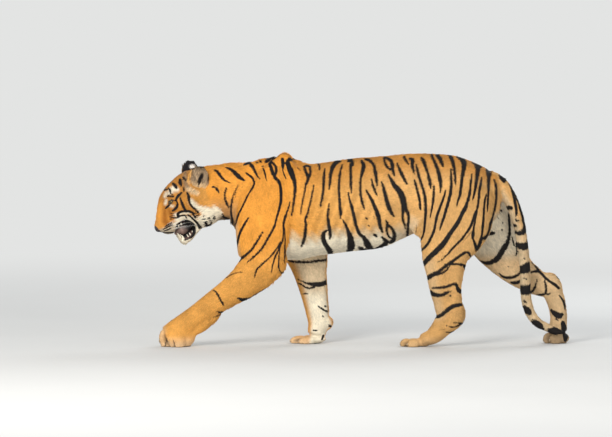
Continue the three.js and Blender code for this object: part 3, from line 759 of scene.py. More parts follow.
TAIL_RINGS = (
    ((660, 800, 8), (678, 784, 12)),
    ((703, 766, 3), (714, 742, 5), (724, 706, 6), (734, 660, 7), (738, 628, 6), (736, 616, 4)),
    ((728, 728, 5), (740, 700, 7), (752, 668, 7), (760, 632, 7), (769, 600, 7), (778, 565, 9),
     (772, 545, 9)),
    ((692, 652, 6), (704, 654, 11), (714, 652, 8)), ((736, 597, 4), (742, 592, 7), (748, 594, 4)),
    ((720, 574, 4), (728, 571, 7), (738, 566, 5)),
    ((728, 540, 5), (745, 533, 9), (762, 534, 12), (778, 543, 10)),
    ((734, 484, 8), (752, 473, 14), (772, 470, 18), (792, 476, 16), (796, 506, 8)),
    ((740, 446, 4), (748, 440, 4)), ((772, 415, 2.5), (779, 411, 2.5)),
    ((752, 356, 16), (770, 359, 22), (790, 368, 24), (806, 384, 14)),
    ((752, 270, 14), (770, 262, 22), (790, 262, 24), (804, 272, 18)),
    ((776, 208, 5), (783, 205, 5)), ((774, 318, 2.5), (786, 314, 3)),
    ((768, 178, 9), (782, 170, 16), (798, 156, 14), (806, 148, 6)),
    ((822, 108, 12), (836, 98, 18), (852, 84, 16), (864, 76, 8)),
    ((900, 66, 14), (918, 64, 18), (936, 60, 16), (956, 58, 16)),
)
INNER_STRIPES = (
    ((702, 618, 4), (705, 590, 5), (708, 556, 6), (707, 525, 7), (702, 500, 8), (694, 476, 10),
     (681, 455, 13), (666, 431, 13), (650, 408, 12), (630, 392, 11), (606, 384, 10), (582, 386, 8),
     (558, 393, 5)),
    ((612, 525, 8), (622, 528, 9), (634, 528, 6)), ((673, 578, 3), (674, 576, 4)), ((673, 545, 3),
     (672, 543, 5)),
    ((640, 628, 6), (655, 636, 8), (668, 634, 5)),
    ((760, 338, 5), (742, 324, 6), (716, 316, 7), (690, 315, 7), (672, 322, 5), (660, 334, 3)),
    ((720, 505, 3), (729, 470, 4)), ((740, 480, 5), (745, 458, 6), (742, 436, 5), (738, 420, 3)),
    ((762, 300, 7), (746, 292, 9), (728, 290, 8), (716, 292, 5)),
    ((806, 340, 5), (828, 344, 6), (848, 342, 6), (862, 330, 6), (880, 312, 6), (902, 295, 6),
     (925, 281, 7), (942, 264, 6)),
    ((812, 392, 4), (826, 376, 5), (840, 358, 6), (850, 344, 5)),
    ((806, 242, 6), (818, 250, 6), (828, 268, 5), (834, 288, 4), (838, 303, 3)),
    ((842, 226, 8), (856, 232, 6), (876, 237, 5), (881, 252, 5), (880, 280, 4.5), (874, 303, 3)),
    ((876, 237, 4), (892, 236, 4), (905, 242, 3)),
    ((908, 158, 6), (925, 145, 13), (945, 132, 14), (958, 140, 8)),
    ((946, 230, 3), (965, 200, 5), (975, 165, 6)), ((930, 118, 3), (940, 112, 4)),
    ((962, 100, 10), (966, 82, 13), (972, 60, 14), (976, 36, 13), (974, 16, 8)),
    ((640, 390, 2), (655, 395, 2)), ((700, 370, 1.5), (705, 368, 1.5)),
    ((-352, 396, 4), (-320, 389, 5.5), (-280, 388, 6), (-240, 389, 5.5), (-200, 394, 6), (-168, 396, 7)),
    ((-300, 305, 2), (-280, 297, 3), (-260, 289, 4), (-238, 284, 7), (-215, 283, 11), (-190, 284, 12),
     (-170, 290, 11), (-157, 302, 8)),
    ((-300, 288, 2), (-280, 279, 3), (-262, 269, 4), (-240, 264, 4), (-222, 270, 5)),
    ((-203, 178, 3), (-190, 170, 4), (-175, 160, 4), (-158, 152, 4)), ((-172, 180, 4), (-168, 178, 4)),
    ((-278, 234, 2), (-262, 240, 3), (-252, 238, 2)), ((-225, 64, 3), (-208, 64, 3.5)),
    ((-150, 84, 5), (-143, 82, 5)), ((-178, 40, 4), (-184, 22, 5)), ((-182, 132, 4), (-178, 130, 3)),
)
STRIPES = {
    "side": (NECK_STRIPES + SHOULDER_STRIPES + FLANK_STRIPES + HAUNCH_STRIPES + HINDLEG_STRIPES
             + FORELEG_STRIPES),
    "face": FACE_STRIPES,
    "tail": TAIL_RINGS,
    "inner": INNER_STRIPES,
}
# Cream, golden and grey-brown areas of the face, as the same kind of lines.
PALE_FACE = (
    ((-911, 722, 8), (-900, 737, 12), (-886, 742, 13), (-874, 738, 8)),  # brow
    ((-931, 708, 6), (-924, 722, 7)),
    ((-924, 690, 5), (-928, 675, 5)), ((-905, 668, 4), (-893, 664, 5)),  # below the eye
    ((-812, 690, 9), (-800, 674, 12), (-784, 660, 12), (-765, 644, 16), (-742, 632, 24), (-716, 620, 26),
     (-702, 600, 20)),  # ruff of the cheek
    ((-880, 622, 9), (-852, 630, 6), (-820, 632, 6)), ((-870, 600, 13), (-840, 604, 16), (-806, 600, 18)),
    ((-940, 546, 8), (-916, 548, 14), (-892, 562, 16), (-866, 586, 14)),  # upper lip
    ((-790, 560, 24), (-800, 520, 26), (-840, 490, 26), (-860, 478, 20)),  # chin and lower jaw
    ((-766, 600, 20), (-748, 590, 20)),
)
GOLD_FACE = (
    ((-928, 690, 4), (-929, 655, 8), (-930, 620, 12), (-928, 592, 15), (-914, 574, 11)),
    ((-912, 652, 8), (-904, 632, 12), (-898, 612, 12)), ((-892, 660, 5), (-886, 640, 7)),
)
EAR_HAIR = (((-842, 815, 8), (-838, 780, 11), (-828, 750, 12), (-806, 732, 12), (-782, 722, 10)),)


def ink(points, lines, soft=1.4):
    """How far each point lies in any of the lines: 1 inside, 0 outside, turning over twice the softness.

    The distance is to the smooth curve through a line's stations, less the half width there.
    """
    cover = np.zeros(len(points))
    for line in lines:
        line = np.array(line, float)
        line = curve(line, knot_numbers(line[:, :2], 8))
        margin = line[:, 2].max() + 2 * soft
        near = np.flatnonzero(np.all((points > line[:, :2].min(0) - margin)
                                     & (points < line[:, :2].max(0) + margin), axis=1))
        some = points[near]
        best = np.full(len(near), 99.0)
        for (x0, z0, r0), (x1, z1, r1) in zip(line[:-1], line[1:]):
            step = np.array([x1 - x0, z1 - z0])
            share = np.clip((some - (x0, z0)) @ step / max(step @ step, 1e-6), 0, 1)
            away = some - (x0, z0) - share[:, None] * step
            best = np.minimum(best, np.hypot(away[:, 0], away[:, 1]) - (r0 + (r1 - r0) * share))
        cover[near] = np.maximum(cover[near], np.clip(0.5 - best / (2 * soft), 0, 1))
    return cover


# ---------------- from one side to the other
# The stripes are drawn on the left side; the right legs stand elsewhere, so the drawing is moved with them.
FORE_MATCH = (0, 1, 2, 3, 4, 5, 6.3, 7.8, 9, 10, 11.5)
HIND_MATCH = (0, 1, 2, 3, 4, 5.2, 6.8, 8.3, 9.2, 10.2, 11)
STILL_POINTS = (
    (-700, 720), (-620, 800), (-560, 860), (-560, 480), (-400, 900), (-250, 840), (-180, 700), (-150, 560),
    (-100, 460), (0, 860), (0, 660), (60, 480), (150, 820), (170, 600), (250, 880), (420, 900), (560, 850),
    (640, 780), (690, 700),
)
SOFTENING = 60.0  # millimetres, within which a pair's pull levels off


def side_pairs():
    """Places on the right side and the places on the left side that match them."""
    right, left = [], []
    for right_line, left_line, match in ((RIGHT_FORE_LINE, LEFT_FORE_LINE, FORE_MATCH),
                                         (RIGHT_HIND_LINE, LEFT_HIND_LINE, HIND_MATCH)):
        right.append(np.array(right_line, float)[:, [0, 2]])
        left.append(curve(np.array(left_line, float)[:, [0, 2]], np.array(match, float)))
    still = np.array(STILL_POINTS, float)
    return np.vstack(right + [still]), np.vstack(left + [still])


def carried(points, sources, targets):
    """Points moved as the sources move to the targets.

    A pair weighs by one over the square of (squared distance plus squared softening).
    """
    square = ((points[:, None, :] - sources[None]) ** 2).sum(2)
    weight = 1 / (square + SOFTENING ** 2) ** 2
    return points + (weight @ (targets - sources)) / weight.sum(1, keepdims=True)


RIGHT_PLACES, LEFT_PLACES = side_pairs()
SHEETS = ("left", "right", "face", "tail", "left_inner", "right_inner")
SHEET_STRIPES = ("side", "side", "face", "tail", "inner", "inner")


def drawn(points, sheets, lines=STRIPES):
    """Ink at points of the body, each read from the sheet of stripes that its number names."""
    cover = np.zeros(len(points))
    for number, (sheet, group) in enumerate(zip(SHEETS, SHEET_STRIPES)):
        if group not in lines:
            continue
        pick = np.flatnonzero(sheets == number)
        flat = points[pick][:, [0, 2]]
        x, z = flat.T
        if sheet == "right":
            wander = np.stack([9 * np.sin(z / 61 + 1) + 6 * np.sin(x / 47), 12 * np.sin(x / 73)], axis=1)
            flat = carried(flat, RIGHT_PLACES, LEFT_PLACES) + wander
        elif sheet == "left_inner":
            flat = carried(flat, LEFT_PLACES, RIGHT_PLACES)
        elif sheet == "face":
            local = HEAD.into(points[pick])
            local[:, 1] = np.abs(local[:, 1])
            flat = HEAD.out(local)[:, [0, 2]]
        cover[pick] = ink(flat, lines[group])
        if sheet == "right":
            breast = smooth(-325, -350, x) * smooth(570, 545, z)  # it stays plain between the forelegs
            cover[pick] *= 1 - breast * smooth(-575, -550, x)
    return cover


# ---------------- what part of the tiger a place belongs to
HEAD_SHAPES = [(skull, 0), (jaw, 0)] + FACE
PART_SHAPES = {
    "trunk": [(trunk, 0)],
    "neck": [(neck, 0)],
    "tail": [(tail, 0)],
    **{limb: [(leg, 0)] + paw(limb) for limb, leg in LEGS.items()},
    "head": HEAD_SHAPES,
    "ear_left": [(EARS["left"][0], 0)],
    "ear_right": [(EARS["right"][0], 0)],
}
PART = {name: number for number, name in enumerate(PART_SHAPES)}
PART_TUBES = {"trunk": trunk, "neck": neck, "tail": tail, **LEGS}
PART_TUBES |= {name: skull for name in ("head", "ear_left", "ear_right")}


def part_values(points):
    """Field of each part alone, one row for each."""
    return np.stack([joined(points, shapes) for shapes in PART_SHAPES.values()])


def rise_on(tube, points):
    """How high on a tube each point lies, from -1 on its underside to 1 on its top."""
    t, _, _, up, _ = tube.section(points)
    return up / np.interp(t, tube.t, tube.depth)


def limb_place(limb, points):
    """How far to a limb's inner side and how far to its back each point lies, both from -1 to 1."""
    leg = LEGS[limb]
    t, _, across, up, _ = leg.section(points)
    width, depth = np.interp(t, leg.t, leg.width), np.interp(t, leg.t, leg.depth)
    inner = across / width * (1 if limb.endswith("left") else -1)
    return inner, up / depth


def lie_of_coat(points, normals, values):
    """Unit directions of the hair: down the limbs and tail, back along the body, and away from the nose.

    Each part's direction weighs by how near its surface is; the sum is laid flat on the skin.
    """
    flow = np.zeros_like(points)
    for part, value in zip(PART, values):
        near = np.flatnonzero(value < 70)
        weight = np.exp(-np.clip(value[near], -20, 60) / 9)[:, None]
        if part == "head":
            way = unit(points[near] - HEAD.out((262, 0, 30)))
        elif part.startswith("ear"):
            way = np.tile(HEAD.matrix @ EARS[part[4:]][2], (len(near), 1))
            weight = weight * 3
        else:
            tube = PART_TUBES[part]
            sample = tube.section(points[near])[1]
            way = tube.tangent[sample].copy()
            if part in ("trunk", "neck"):
                way[:, 2] -= 0.3 * np.clip(1 - np.abs(normals[near, 2]), 0, 1)
            elif part != "tail":
                way[:, 0] += 0.25
                foot = smooth(110, 50, points[near, 2])[:, None]
                way = way * (1 - foot) + foot * (paw_axes(part).matrix @ (-1, 0, -0.3))
        flow[near] += weight * unit(way)
    flow -= (flow * normals).sum(1, keepdims=True) * normals
    return unit(flow)


# ---------------- colours of the coat
def tint(red, green, blue):
    """A colour of 0 to 255 per channel, as linear light."""
    value = np.array([red, green, blue]) / 255
    return np.where(value <= 0.04045, value / 12.92, ((value + 0.055) / 1.055) ** 2.4)


ORANGE = tint(232, 154, 58)
AMBER = tint(218, 157, 78)
SAND = tint(218, 168, 104)
GOLD = tint(146, 86, 22)  # sides of the muzzle
CREAM = tint(240, 228, 202)
STONE = tint(216, 190, 152)  # the thin pale coat inside the hind legs and on the tail
TAWNY = tint(204, 138, 58)  # the face
FAWN = tint(184, 122, 52)  # deeper tone along the back, on the nape and forehead
UMBER = tint(158, 134, 106)  # inside the ears; darkened, it is also the painted shade under the throat and ruff, in the toe creases and on the far hind paw
# painted shade of the ear canal's opening
CANAL_SHADE = tint(18, 12, 11)
EAR_BACK = tint(30, 27, 30)
EAR_SPOT = tint(244, 240, 232)
LIP = tint(13, 11, 12)
GUM = tint(98, 72, 66)
# painted shade at the back of the mouth and in the throat
THROAT_SHADE = tint(14, 8, 8)
STRIPE_BLACK = tint(27, 23, 22)


def blended(under, over, share):
    """Colours between under and over, by the share of over at each point."""
    return under + (over - under) * np.asarray(share)[:, None]


def trunk_colour(points, name):
    """Orange before and sandy behind, fawn along the back, and cream below an uneven edge; on the neck,
    painted shade darkens the underside and the throat.
    """
    x, z = points[:, 0], points[:, 2]
    rise = rise_on(PART_TUBES[name], points)
    warm = np.clip(0.9 * smooth(-140, -420, x) + 0.3 * smooth(0.4, 0.95, rise), 0, 1)
    own = blended(AMBER, ORANGE, warm)
    own = blended(own, SAND, 0.85 * smooth(-260, 200, x) * smooth(1.05, 0.4, rise))
    own = blended(own, FAWN, 0.5 * smooth(0.3, 0.85, rise) * smooth(-420, -200, x))
    if name == "trunk":
        edge = -0.74 + 0.14 * smooth(-400, -300, x) - 0.16 * smooth(-150, 160, x)
        edge = edge - 0.2 * smooth(-380, -460, x)
    else:
        edge = -1.0 + 0.4 * smooth(-655, -710, x)
        # painted shade: the underside of the neck darkened, as under the ruff
        own = blended(own, (0.6 * FAWN + 0.4 * STONE) * 0.75, 0.75 * smooth(0.0, -0.7, rise))
    edge = edge + 0.05 * np.sin(x / 31) + 0.04 * np.sin(x / 13 + 2)
    edge = edge + 0.03 * np.sin(x / 7 + z / 9)
    groin = smooth(110, 250, x)
    share = (0.85 if name == "trunk" else 0.2) * (1 - 0.35 * groin)
    own = blended(own, STONE, smooth(edge + 0.26, edge + 0.06, rise) * share)
    own = blended(own, CREAM, smooth(edge + 0.09, edge - 0.09, rise) * (1 - 0.8 * groin))
    if name == "neck":
        # painted shade at the bottom of the throat, below the ruff
        own = blended(own, UMBER * 0.3, 0.8 * (smooth(-0.75, -0.95, rise) * smooth(-720, -650, x)))
    return own


def tail_colour(points):
    """Pale between its rings, and sandy on top near the root."""
    rise, height = rise_on(tail, points), points[:, 2]
    sandy = smooth(-0.6, 0.4, rise) * smooth(480, 640, height)
    return blended(STONE * 0.88, SAND, sandy + 0.25 * smooth(-0.5, 0.6, rise) * smooth(600, 500, height))


def leg_colour(points, limb):
    """Orange on the forelegs and sandy on the hind legs, pale on the inner side and the toes; the toes'
    fronts take some painted highlight, and the far hind paw painted shade near the floor.
    """
    inner, rear = limb_place(limb, points)
    height = points[:, 2]
    if limb.startswith("foreleg"):
        own = blended(AMBER, ORANGE, 0.15 + 0.75 * smooth(300, 560, height))
        pale = smooth(0.1, 0.5, inner) * smooth(-0.85, -0.4, rear) * smooth(570, 430, height)
        front = 0.55 * smooth(-0.8, -0.98, rear) * smooth(380, 470, height) * smooth(620, 560, height)
        pale = np.maximum(pale, front)
        pale_colour = blended(CREAM, STONE, 0.9 * smooth(215, 285, height))
    else:
        own = blended(SAND, AMBER, 0.15 * smooth(160, 80, height) + 0.3 * smooth(560, 760, height))
        own *= (1 - 0.12 * smooth(260, 180, height) - 0.06 * smooth(420, 620, height))[:, None]
        front = smooth(-0.1, -0.7, rear) * smooth(450, 400, height) * smooth(110, 150, height)
        pale = np.maximum(smooth(0.05, 0.45, inner), 0.45 * front)
        pale_colour = blended(STONE, CREAM, 0.8 * smooth(400, 470, height))
        pale_colour *= (1 - 0.1 * smooth(330, 260, height))[:, None]
    if limb == "hindleg_right":
        pale *= 1 - 0.35 * smooth(440, 380, height)
    # the fronts of the toes are paler: partly their pale hair, partly painted highlight
    tips = smooth(46, 14, paw_axes(limb).into(points)[:, 0]) * smooth(160, 110, height)
    toes = np.maximum(smooth(64, 4, height) * 0.4, 0.3 * tips)
    own = blended(own, pale_colour, np.maximum(pale, toes))
    # painted shade on the far hind paw near the floor
    if limb == "hindleg_right":
        own = blended(own, UMBER * 0.7, 0.6 * smooth(64, 24, height))
    return own


def head_colour(points):
    """Tawny with a fawn crown and golden muzzle; brows, cheeks, lips and throat are pale, and painted shade
    darkens the underside of the ruff.
    """
    local = HEAD.into(points)
    ahead, aside, above = local[:, 0], np.abs(local[:, 1]), local[:, 2]
    flat = HEAD.out(np.stack([ahead, aside, above], axis=1))[:, [0, 2]]
    own = blended(TAWNY, ORANGE, 0.55 * smooth(40, 20, aside) * smooth(40, 90, above))
    own = blended(own, AMBER, 0.6 * smooth(70, 0, ahead))
    own = blended(own, FAWN, 0.75 * smooth(100, 150, above))
    own = blended(own, GOLD, 0.95 * ink(flat, GOLD_FACE, 10))
    ear_hair = blended(UMBER * 0.8, STONE, smooth(765, 735, flat[:, 1]))
    own = blended(own, ear_hair, 0.8 * ink(flat, EAR_HAIR, 6))
    cheek = smooth(8, -26, above + 0.12 * (ahead - 60)) * smooth(175, 130, ahead)
    cheek *= 0.15 + 0.85 * smooth(-64, -26, ahead)
    lips = smooth(34, 14, above) * smooth(150, 180, ahead)
    pale = np.max([cheek, lips, smooth(-40, -55, above), ink(flat, PALE_FACE, 6)], axis=0)
    own = blended(own, CREAM, np.clip(pale, 0, 1))
    own = blended(own, UMBER * 0.65, 0.7 * (smooth(166, 190, ahead) * smooth(36, 16, above)))
    # painted shade under the ruff, low at the back of the head
    return blended(own, UMBER * 0.3, 0.75 * smooth(-52, -84, above) * smooth(20, -20, ahead))


def ear_colour(points, normals, side):
    """Grey-brown in the cup with the painted shade of the canal; the back is black with a white spot."""
    cup = EARS[side][1]
    front, _, high = ((points - cup.centre) @ cup.matrix).T
    back = smooth(0.1, -0.25, normals @ cup.matrix[:, 1]) * smooth(-46, -34, high)
    # painted shade where the canal opens in the cup
    canal_shade = smooth(1.25, 0.75, np.hypot((front + 14 + 0.2 * high) / 11, (high + 15) / 34))
    spot = smooth(1.15, 0.85, np.hypot((front + 8) / 22, (high - 12) / 13))
    rim = smooth(-40, -48, front) * smooth(-30, -10, high) * smooth(44, 26, high)
    own = blended(AMBER, STONE, 0.7 * smooth(-20, -50, high))
    own = blended(own, UMBER, smooth(46, 28, front) * smooth(-52, -30, high))
    own = blended(own, UMBER * 0.4, 0.8 * smooth(22, 42, high))
    own = blended(own, CANAL_SHADE, canal_shade)
    own = blended(own, EAR_BACK, np.maximum(back, rim))
    return blended(own, EAR_SPOT, back * spot)


def coat_colour(points, normals, part):
    """Ground colour of the coat under its stripes, with painted shade on the neck, under the ruff and on the
    far hind paw.
    """
    colour = np.empty((len(points), 3))
    for name, number in PART.items():
        pick = np.flatnonzero(part == number)
        if name in ("trunk", "neck"):
            colour[pick] = trunk_colour(points[pick], name)
        elif name == "tail":
            colour[pick] = tail_colour(points[pick])
        elif name in LEGS:
            colour[pick] = leg_colour(points[pick], name)
        elif name == "head":
            colour[pick] = head_colour(points[pick])
        else:
            colour[pick] = ear_colour(points[pick], normals[pick], name.removeprefix("ear_"))
    return colour


def bareness(points, part):
    """Where no hair grows: 1 in the mouth, on the lips and lids, and under the paws."""
    near = np.flatnonzero(part == PART["head"])
    bare = np.zeros(len(points))
    ahead, _, above = HEAD.into(points[near]).T
    # the black band round the mouth widens towards its corner: black lip, and painted shade in the corner of
    # the mouth
    lip = 6 + 7 * smooth(150, 112, ahead)
    chin = smooth(165, 172, ahead) * smooth(-42, -52, above)
    bare[near] = smooth(lip + 1.5, lip - 1.5, mouth.value(points[near])) * (1 - chin)
    for slit in EYE_SLITS.values():
        bare[near] = np.maximum(bare[near], smooth(5.5, 3.5, slit.value(points[near])))
    return np.maximum(bare, smooth(5, 2, points[:, 2]))


def wet_colour(points):
    """Colour of the bare parts: black lips and lids, then the gums, and the painted shade of the throat
    behind them.
    """
    ahead = HEAD.into(points)[:, 0]
    inside = smooth(-7, -13, flesh_value(points)) * smooth(2, -1, mouth.value(points))
    return blended(LIP, blended(THROAT_SHADE, GUM, smooth(100, 124, ahead)), inside)


# ---------------- the skin
LOW, HIGH = (-1010, -216, -14), (1010, 216, 930)
VOXEL = 7.5
HEAD_ZONE = 199  # millimetres round the head's middle, where the skin is finer


def refined(points, quads, chosen):
    """Triangles of the quads, those with chosen corners parted in four and joined to their neighbours."""
    mesh = bpy.data.meshes.new("rough_skin")
    mesh.from_pydata(points.tolist(), [], quads.tolist())
    work = bmesh.new()
    work.from_mesh(mesh)
    work.verts.ensure_lookup_table()
    edges = [e for e in work.edges if chosen[e.verts[0].index] and chosen[e.verts[1].index]]
    bmesh.ops.subdivide_edges(work, edges=edges, cuts=1, use_grid_fill=True)
    bmesh.ops.triangulate(work, faces=work.faces[:], quad_method="SHORT_EDGE", ngon_method="BEAUTY")
    work.to_mesh(mesh)
    work.free()
    fine = np.empty(len(mesh.vertices) * 3)
    mesh.vertices.foreach_get("co", fine)
    corners = np.empty(len(mesh.loops), int)
    mesh.loops.foreach_get("vertex_index", corners)
    bpy.data.meshes.remove(mesh)
    return fine.reshape(-1, 3), corners.reshape(-1, 3)


def toe_zone(points):
    """Which points lie round the toes of a paw."""
    zone = np.zeros(len(points), bool)
    for limb, (_, size, _, rise) in PAWS.items():
        local = paw_axes(limb).into(points)
        zone |= ((local[:, 0] > -30) & (local[:, 0] < 0.56 * size["length"]) & (local[:, 2] > 6)
                 & (np.abs(local[:, 1]) < 0.6 * size["width"]) & (local[:, 2] < 1.3 * size["height"] * rise))
    return zone


rough_points, rough_quads = polygonize(skin_value, LOW, HIGH, VOXEL)
rough_quads = outward(rough_points, rough_quads)
from_head = np.linalg.norm(rough_points - HEAD.out((70, 0, 40)), axis=1)
fine_zone = (from_head < HEAD_ZONE) | toe_zone(rough_points)
skin_points, skin_faces = refined(rough_points, rough_quads, fine_zone)
skin_points, skin_normals = settle(skin_points, skin_value)
values = part_values(skin_points)
skin_part = np.argmin(values, axis=0)
skin_lie = lie_of_coat(skin_points, skin_normals, values)


def sheet_numbers(points, part):
    """Which sheet of stripes each place reads."""
    sheets = np.where(points[:, 1] < 0, 0, 1)
    sheets[part == PART["tail"]] = SHEETS.index("tail")
    sheets[part >= PART["head"]] = SHEETS.index("face")
    for limb in LEGS:
        pick = np.flatnonzero(part == PART[limb])
        inner = limb_place(limb, points[pick])[0] > 0.12
        if limb.endswith("left"):
            sheets[pick] = np.where(inner, SHEETS.index("left_inner"), SHEETS.index("left"))
        else:
            sheets[pick] = np.where(inner, SHEETS.index("right_inner"), SHEETS.index("right"))
    return sheets


def marks(points, part, sheets):
    """Strength of the black at each place, from 0 to 1: stripes, and faint marks at half strength."""
    cover = drawn(points, sheets)
    cover = np.maximum(cover, 0.5 * drawn(points, sheets, {"side": FAINT_MARKS}))
    return np.where(part >= PART["ear_left"], 0, cover)


skin_sheet = sheet_numbers(skin_points, skin_part)
skin_colour = coat_colour(skin_points, skin_normals, skin_part)
skin_mark = marks(skin_points, skin_part, skin_sheet)
skin_bare = bareness(skin_points, skin_part)


# ---------------- meshes
def make_mesh(name, points, faces, finish, attributes=None, patches=None, smooth_faces=True):
    """An object from millimetre points and triangles or quads, with named values on its points.

    patches are the face corners' places on the OFBake map.
    """
    mesh = bpy.data.meshes.new(name)
    faces = np.asarray(faces)
    corners = faces.shape[1]
    mesh.vertices.add(len(points))
    mesh.vertices.foreach_set("co", place(points).astype(np.float32).ravel())
    mesh.loops.add(faces.size)
    mesh.loops.foreach_set("vertex_index", faces.ravel().astype(np.int32))
    mesh.polygons.add(len(faces))
    mesh.polygons.foreach_set("loop_start", np.arange(len(faces), dtype=np.int32) * corners)
    mesh.polygons.foreach_set("use_smooth", np.full(len(faces), smooth_faces))
    mesh.update(calc_edges=True)
    for key, data in (attributes or {}).items():
        data = np.asarray(data, np.float32)
        if data.ndim == 1:
            mesh.attributes.new(key, "FLOAT", "POINT").data.foreach_set("value", data)
        elif key.endswith("colour"):
            full = np.hstack([data, np.ones((len(data), 1), np.float32)])
            mesh.attributes.new(key, "FLOAT_COLOR", "POINT").data.foreach_set("color", full.ravel())
        else:
            mesh.attributes.new(key, "FLOAT_VECTOR", "POINT").data.foreach_set("vector", data.ravel())
    if patches is not None:
        layer = mesh.uv_layers.new(name="OFBake")
        layer.uv.foreach_set("vector", np.asarray(patches, np.float32).ravel())
    mesh.materials.append(finish)
    thing = bpy.data.objects.new(name, mesh)
    bpy.context.scene.collection.objects.link(thing)
    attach(thing, "root")
    return thing


# ---------------- materials
def add(tree, kind, inputs=None, **settings):
    """A shader node with its settings, and its sockets either linked or given values."""
    node = tree.nodes.new("ShaderNode" + kind)
    for key, value in settings.items():
        setattr(node, key, value)
    for key, value in (inputs or {}).items():
        if isinstance(value, bpy.types.NodeSocket):
            tree.links.new(value, node.inputs[key])
        else:
            node.inputs[key].default_value = value
    return node


def new_finish(name):
    """A new material without nodes, and its tree."""
    finish = bpy.data.materials.new(name)
    finish.use_nodes = True
    finish.node_tree.nodes.clear()
    return finish, finish.node_tree


def output(tree, shader):
    """The shader joined to the material's surface."""
    tree.links.new(shader.outputs[0], tree.nodes.new("ShaderNodeOutputMaterial").inputs["Surface"])


def rgba(colour):
    """A colour as a socket takes it."""
    return (*[float(c) for c in colour], 1.0)


def coat_pattern():
    """Group that turns ground colour, black mark and strand number into the hair's colour and height.

    Noise makes the stripes' edges ragged and the tones uneven.
    """
    tree = bpy.data.node_groups.new("CoatPattern", "ShaderNodeTree")
    for name, way, kind in (("Ground", "INPUT", "Color"), ("Mark", "INPUT", "Float"),
                            ("Strand", "INPUT", "Float"), ("Colour", "OUTPUT", "Color"),
                            ("Height", "OUTPUT", "Float")):
        tree.interface.new_socket(name, in_out=way, socket_type="NodeSocket" + kind)
    given = tree.nodes.new("NodeGroupInput")
    place_on = add(tree, "TexCoord").outputs["Object"]
    fine = add(tree, "TexNoise", {"Vector": place_on, "Scale": 330.0, "Detail": 2.0})
    broad = add(tree, "TexNoise", {"Vector": place_on, "Scale": 11.0, "Detail": 6.0,
                                   "Roughness": 0.72})
    ragged = add(tree, "Math", {0: fine.outputs[0], 1: 0.5, 2: given.outputs["Mark"]},
                 operation="MULTIPLY_ADD")
    black = add(tree, "MapRange", {"Value": ragged.outputs[0], "From Min": 0.5, "From Max": 0.85},
                interpolation_type="SMOOTHSTEP")
    tone = add(tree, "MapRange", {"Value": given.outputs["Strand"], "To Min": 0.76, "To Max": 1.18})
    patchy = add(tree, "MapRange", {"Value": broad.outputs[0], "From Min": 0.3, "From Max": 0.7,
                                    "To Min": 0.76, "To Max": 1.18})
    level = add(tree, "Math", {0: tone.outputs[0], 1: patchy.outputs[0]}, operation="MULTIPLY")
    lit = add(tree, "VectorMath", {0: given.outputs["Ground"], "Scale": level.outputs[0]},
              operation="SCALE")
    dark = add(tree, "Mix", {"Factor": black.outputs[0], "A": lit.outputs[0], "B": rgba(STRIPE_BLACK)},
               data_type="RGBA")
    done = tree.nodes.new("NodeGroupOutput")
    tree.links.new(dark.outputs["Result"], done.inputs["Colour"])
    tree.links.new(fine.outputs[0], done.inputs["Height"])
    return tree


COAT_PATTERN = coat_pattern()


def coat_finish(name, bare=False):
    """Matt hair with the pattern, shaded mostly by the skin below it; the skin itself has bare wet parts."""
    finish, tree = new_finish(name)
    ground = add(tree, "Attribute", attribute_name="ground_colour")
    mark = add(tree, "Attribute", attribute_name="mark")
    strand = add(tree, "Attribute", attribute_name="strand")
    pattern = add(tree, "Group", node_tree=COAT_PATTERN)
    tree.links.new(ground.outputs["Color"], pattern.inputs["Ground"])
    tree.links.new(mark.outputs["Fac"], pattern.inputs["Mark"])
    tree.links.new(strand.outputs["Fac"], pattern.inputs["Strand"])
    height = pattern.outputs["Height"]
    rough = add(tree, "MapRange", {"Value": height, "To Min": 0.62, "To Max": 0.85})
    shader = add(tree, "BsdfPrincipled", {"Base Color": pattern.outputs["Colour"],
                                          "Roughness": rough.outputs[0], "Specular IOR Level": 0.2,
                                          "Sheen Weight": 0.06, "Sheen Roughness": 0.4})
    if bare:
        wet = add(tree, "Attribute", attribute_name="bare")
        colour = add(tree, "Mix", {"Factor": wet.outputs["Fac"], "A": pattern.outputs["Colour"],
                                   "B": ground.outputs["Color"]}, data_type="RGBA")
        tree.links.new(colour.outputs["Result"], shader.inputs["Base Color"])
        gloss = add(tree, "Mix", {"Factor": wet.outputs["Fac"], "A": rough.outputs[0], "B": 0.5})
        tree.links.new(gloss.outputs["Result"], shader.inputs["Roughness"])
        bump = add(tree, "Bump", {"Height": height, "Strength": 0.7, "Distance": 0.002})
    else:
        around = add(tree, "Attribute", attribute_name="skin_normal")
        own = add(tree, "NewGeometry")
        mixed = add(tree, "Mix", {"Factor": 0.28, "A": around.outputs["Vector"],
                                  "B": own.outputs["Normal"]}, data_type="VECTOR")
        bump = add(tree, "Bump", {"Height": height, "Strength": 0.3, "Distance": 0.001,
                                  "Normal": mixed.outputs["Result"]})
    tree.links.new(bump.outputs["Normal"], shader.inputs["Normal"])
    output(tree, shader)
    return finish


SKIN_FINISH = coat_finish("tiger skin", bare=True)
COAT_FINISH = coat_finish("tiger coat")
LOCK_FINISH = coat_finish("tiger long hair")

# painted shade darkens the creases between the toes
shown_colour = blended(skin_colour, UMBER * 0.25, 0.85 * cleft(skin_points))
wet = np.flatnonzero(skin_bare > 0.02)
shown_colour[wet] = blended(skin_colour[wet], wet_colour(skin_points[wet]), skin_bare[wet])
even_strand = np.full(len(skin_points), 0.45)
skin = make_mesh("skin", skin_points, skin_faces, SKIN_FINISH,
                 {"ground_colour": shown_colour, "mark": skin_mark, "strand": even_strand, "bare": skin_bare})
FLESH_NODES = [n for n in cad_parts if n.split("_")[0] not in ("eye", "nose", "tongue", "canine")]
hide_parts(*FLESH_NODES)


